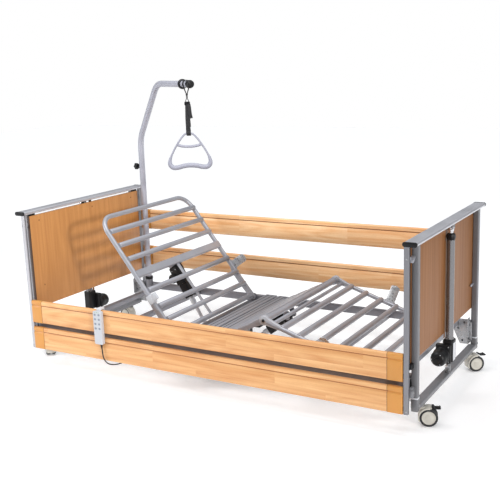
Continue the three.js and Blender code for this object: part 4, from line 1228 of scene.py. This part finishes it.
def lifting_pole():
    path = bent([on_arm(0, 0.203), on_arm(0, 1.122), on_arm(ARM_REACH, ARM_HEIGHT),
                 on_arm(HOOK_REACH + 0.031, ARM_HEIGHT)], 0.06, 12)
    across = POLE_ARM.cross(Vector((0, 0, 1)))
    pole = Shape()
    pole.add(tube(path, POLE_RADIUS, 36, up=across), POLE_PAINT)
    along = aim(on_arm(0, ARM_HEIGHT), POLE_ARM)
    cap = [(0.0, 0.025), (0.0185, 0.025), (0.0215, 0.029), (0.0215, 0.047), (0.0195, 0.0545), (0.015, 0.059),
           (0.0, 0.0605)]
    ring = [(0.0172, -0.054), (0.0225, -0.054), (0.0265, -0.051), (0.0265, -0.043), (0.0225, -0.04),
            (0.0172, -0.04)]
    for profile in (cap, ring):
        pole.add(lathe([(radius, HOOK_REACH + at) for radius, at in profile]), BLACK, along)
    pole.make("lifting_pole_tube", "pole", "lifting_pole", slot="frame_paint")


def pole_knob():
    knob = Shape()
    start = Vector(JOINTS["pole_knob_turn"]["pos_m"])
    start.x = POLE.x - POLE_RADIUS
    out = aim(start, (-1, 0, 0))
    stem = [(0.0, 0.0006), (0.0075, 0.0006), (0.006, 0.004), (0.006, 0.014), (0.0, 0.014)]
    knob.add(lathe(stem, 28), BLACK, out)
    lobes = []
    for i in range(60):
        angle = math.radians(6 * i)
        reach = 0.0175 + 0.0022 * math.cos(5 * angle)
        lobes.append((reach * math.cos(angle), reach * math.sin(angle)))
    knob.add(prism(lobes, 0.0125, 0.034, "Z", 0.003, 3), BLACK, out)
    knob.make("pole_clamp_knob", "pole_knob", "pole_knob", slot="black_plastic", crease=45.0)


HANDLE_MATRIX = Matrix.Translation(on_arm(HOOK_REACH, 0.0)) @ Matrix.Rotation(HANDLE_TURN, 4, "Z")


def strap():
    """The hook loop round the pole's end, the buckle and the webbing that holds the handle."""
    hanging = Shape(HANDLE_MATRIX)
    # Cord loop round the pole end, drawn in the plane across the arm.
    arm_local = Matrix.Rotation(-HANDLE_TURN, 3, "Z") @ POLE_ARM
    side = arm_local.cross(Vector((0, 0, 1)))
    top = Vector((0, 0, ARM_HEIGHT))
    knot = Vector((0, 0, KNOT_HEIGHT))
    reach = POLE_RADIUS + 0.0036
    for shift in (-0.005, 0.002):
        offset = arm_local * shift
        points = [knot + offset * 0.3 + side * 0.001]
        points += [top + offset + side * (reach * math.cos(a)) + Vector((0, 0, reach * math.sin(a)))
                   for a in (math.radians(-28 + 236 * i / 12) for i in range(13))]
        points.append(knot + offset * 0.3 - side * 0.001)
        hanging.add(tube(curved(points, 5), 0.002, 10), WEBBING)
    hanging.add(drum(0.0058, -0.006, 0.006, 0.003, 20), WEBBING, Matrix.Translation(knot))
    strap_top, lower = WEBBING_TOP, WEBBING_LOW
    for sign in (-1, 1):
        points = [knot + Vector((sign * 0.001, 0.001 * sign, -0.002)),
                  knot + Vector((-sign * 0.003, 0, -0.014)),
                  Vector((sign * 0.006, 0, strap_top + 0.014)), Vector((sign * 0.008, 0, strap_top - 0.006))]
        hanging.add(tube(curved(points, 8), 0.002, 10), WEBBING)
    buckle = rounded((-0.015, strap_top - 0.0135), (0.015, strap_top + 0.0055), 0.004, 4)
    hanging.add(prism(buckle, -0.0055, 0.0055, "Y", 0.0015), BLACK)

    def band(x, y, start, end, width, thickness, wave, lean=0.0):
        count = 24
        outward = 1 if y > 0 else -1
        points = [(x + lean * i / count + 0.0012 * math.sin(5.1 * i / count + wave),
                   y + 0.0022 * math.sin(math.pi * i / count) * outward, start + (end - start) * i / count)
                  for i in range(count + 1)]
        outline = rounded((-width / 2, -thickness / 2), (width / 2, thickness / 2), thickness * 0.45, 2)
        hanging.add(swept(points, outline, up=(0, 1, 0)), WEBBING)

    band(0.0, -0.0036, strap_top - 0.004, lower, 0.0245, 0.0022, 0.3)
    band(-0.001, 0.0036, strap_top - 0.004, lower, 0.0245, 0.0022, 1.7)
    band(0.001, 0.0004, strap_top - 0.006, 1.225, 0.0225, 0.0022, 2.6)
    band(0.0065, -0.0074, strap_top - 0.008, 1.27, 0.019, 0.0016, 0.9, 0.011)
    half_loop = [(-0.0036, 0.002), (-0.0112, -0.003), (-0.0132, -0.01), (-0.0085, -0.0195)]
    side_view = half_loop + [(0.0, -0.0225)] + [(-y, z) for y, z in reversed(half_loop)]
    loop = [(0.0, y * 0.93, lower + z + 0.012) for y, z in side_view]
    flat = rounded((-0.001, -0.0115), (0.001, 0.0115), 0.0008, 2)
    hanging.add(swept(curved(loop, 5), flat, up=(1, 0, 0)), WEBBING)
    hanging.make("handle_webbing", "strap", "handle_strap", slot="webbing")


def handle():
    """The triangle grip with its thick lower bar, and the thin cross bar."""
    grip = Shape(HANDLE_MATRIX)
    half_loop = [(0.0, 1.1925), (0.02, 1.188), (0.046, 1.161), (0.0695, 1.127), (0.092, 1.087),
                 (0.1065, 1.052), (0.107, 1.029), (0.093, 1.013), (0.068, 1.0115), (0.035, 1.019),
                 (0.0, 1.022)]
    loop = [(x, 0.0, z) for x, z in half_loop] + [(-x, 0.0, z) for x, z in reversed(half_loop[1:-1])]
    path = curved(loop, 8, closed=True)
    lowest, highest = min(p.z for p in path), max(p.z for p in path)
    count = len(path)

    def ring(share):
        point = path[int(round(share * count)) % count]
        level = (point.z - lowest) / (highest - lowest)
        thick = 0.0125 - 0.0075 * min(1.0, max(0.0, (level - 0.08) / 0.3))
        deep = 0.012 - 0.0035 * min(1.0, level * 2)
        return [(thick * u, deep * v) for u, v in circle(1.0, 20)]

    grip.add(swept(path, ring, closed=True, up=(0, 1, 0)), HANDLE)
    bar = [(-0.066, 0, 1.133), (-0.04, 0, 1.125), (0.0, 0, 1.1215), (0.04, 0, 1.125), (0.066, 0, 1.133)]
    grip.add(swept(curved(bar, 8), circle(0.0072, 18), up=(0, 1, 0)), HANDLE)
    grip.make("trapeze_grip", "handle", "trapeze_handle", slot="light_plastic", crease=60.0)


# ---------- handset ----------
def handset():
    low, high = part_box("handset")
    front, back = low.y, -0.5056
    x = (low.x + high.x) / 2
    top = 0.36
    shell = Shape()
    face = rounded((low.x, low.z), (high.x, top), 0.008, 6)
    shell.add(prism(face, front + 0.0002, back - 0.0095, "Y", 0.0028, 4), OFF_WHITE)
    rear = rounded((low.x + 0.001, low.z + 0.001), (high.x - 0.001, top - 0.001), 0.008, 6)
    shell.add(prism(rear, back - 0.009, back, "Y", 0.0025, 3), OFF_WHITE)
    hook = [(back - 0.0062, top - 0.024), (back - 0.0062, high.z - 0.002), (back - 0.0042, high.z),
            (-0.48, high.z), (-0.478, high.z - 0.002), (-0.478, high.z - 0.028), (-0.4815, high.z - 0.028),
            (-0.4815, high.z - 0.009), (back + 0.0003, high.z - 0.009), (back + 0.0003, top - 0.024)]
    shell.add(prism(hook, x - 0.0118, x + 0.0118, "X", 0.0008), LIGHT)
    for i in range(3):
        shell.add(drum(0.0018, -0.0002, 0.0008, 0.0004, 16), GREEN_LAMP,
                  aim((x - 0.01 + 0.01 * i, front + 0.0003, top - 0.006), (0, -1, 0)))
    boot = [(0.0, 0.003), (0.0062, 0.003), (0.0058, -0.002), (0.0046, -0.014), (0.0038, -0.022),
            (0.0, -0.022)]
    exit_point = Vector(CORD_ROUTE[0])
    shell.add(lathe(boot, 24), BLACK, Matrix.Translation((exit_point.x, exit_point.y, low.z)))
    shell.make("handset_shell", "near_upper_board", "handset", slot="handset_plastic")


def handset_keys():
    for row in range(1, 5):
        for column in "ab":
            node = f"handset_button_{row}{column}"
            key_low, key_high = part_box(node)
            key = Shape()
            gap = 0.0012
            outline = rounded((key_low.x + gap, key_low.z + gap), (key_high.x - gap, key_high.z - gap),
                              0.0045, 5)
            key.add(prism(outline, key_low.y, key_high.y, "Y", 0.0009, 3), KEY)
            key.make(f"handset_key_{row}{column}", node, node, slot="button_plastic")


def handset_cord():
    path = curved(CORD_ROUTE, 6)
    cord = Shape()
    cord.add(tube(path, CORD_RADIUS, 14), RUBBER)
    piece = cord.make("handset_cable", None)
    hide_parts("handset_cord")
    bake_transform(piece)


make_camera()
handset_cord()
make_studio()
for end_unit in UNITS:
    end_rail(end_unit)
    end_panel(end_unit)
    end_posts(end_unit)
    end_base(end_unit)
    end_lift(end_unit)
for castor_station in CASTOR_ANGLES:
    castor(castor_station)
deck()
control_unit()
back_section()
retainers()
thigh_section()
leg_section()
section_drive("back", (-0.4539, 0.4975), (-0.24, 0.125), 0.2)
section_drive("thigh", (0.2499, 0.2902), (0.0, 0.11), 0.15)
for board_node in ("near_lower_board", "near_upper_board", "far_lower_board", "far_upper_board"):
    board(board_node)
lifting_pole()
pole_knob()
strap()
handle()
handset()
handset_keys()
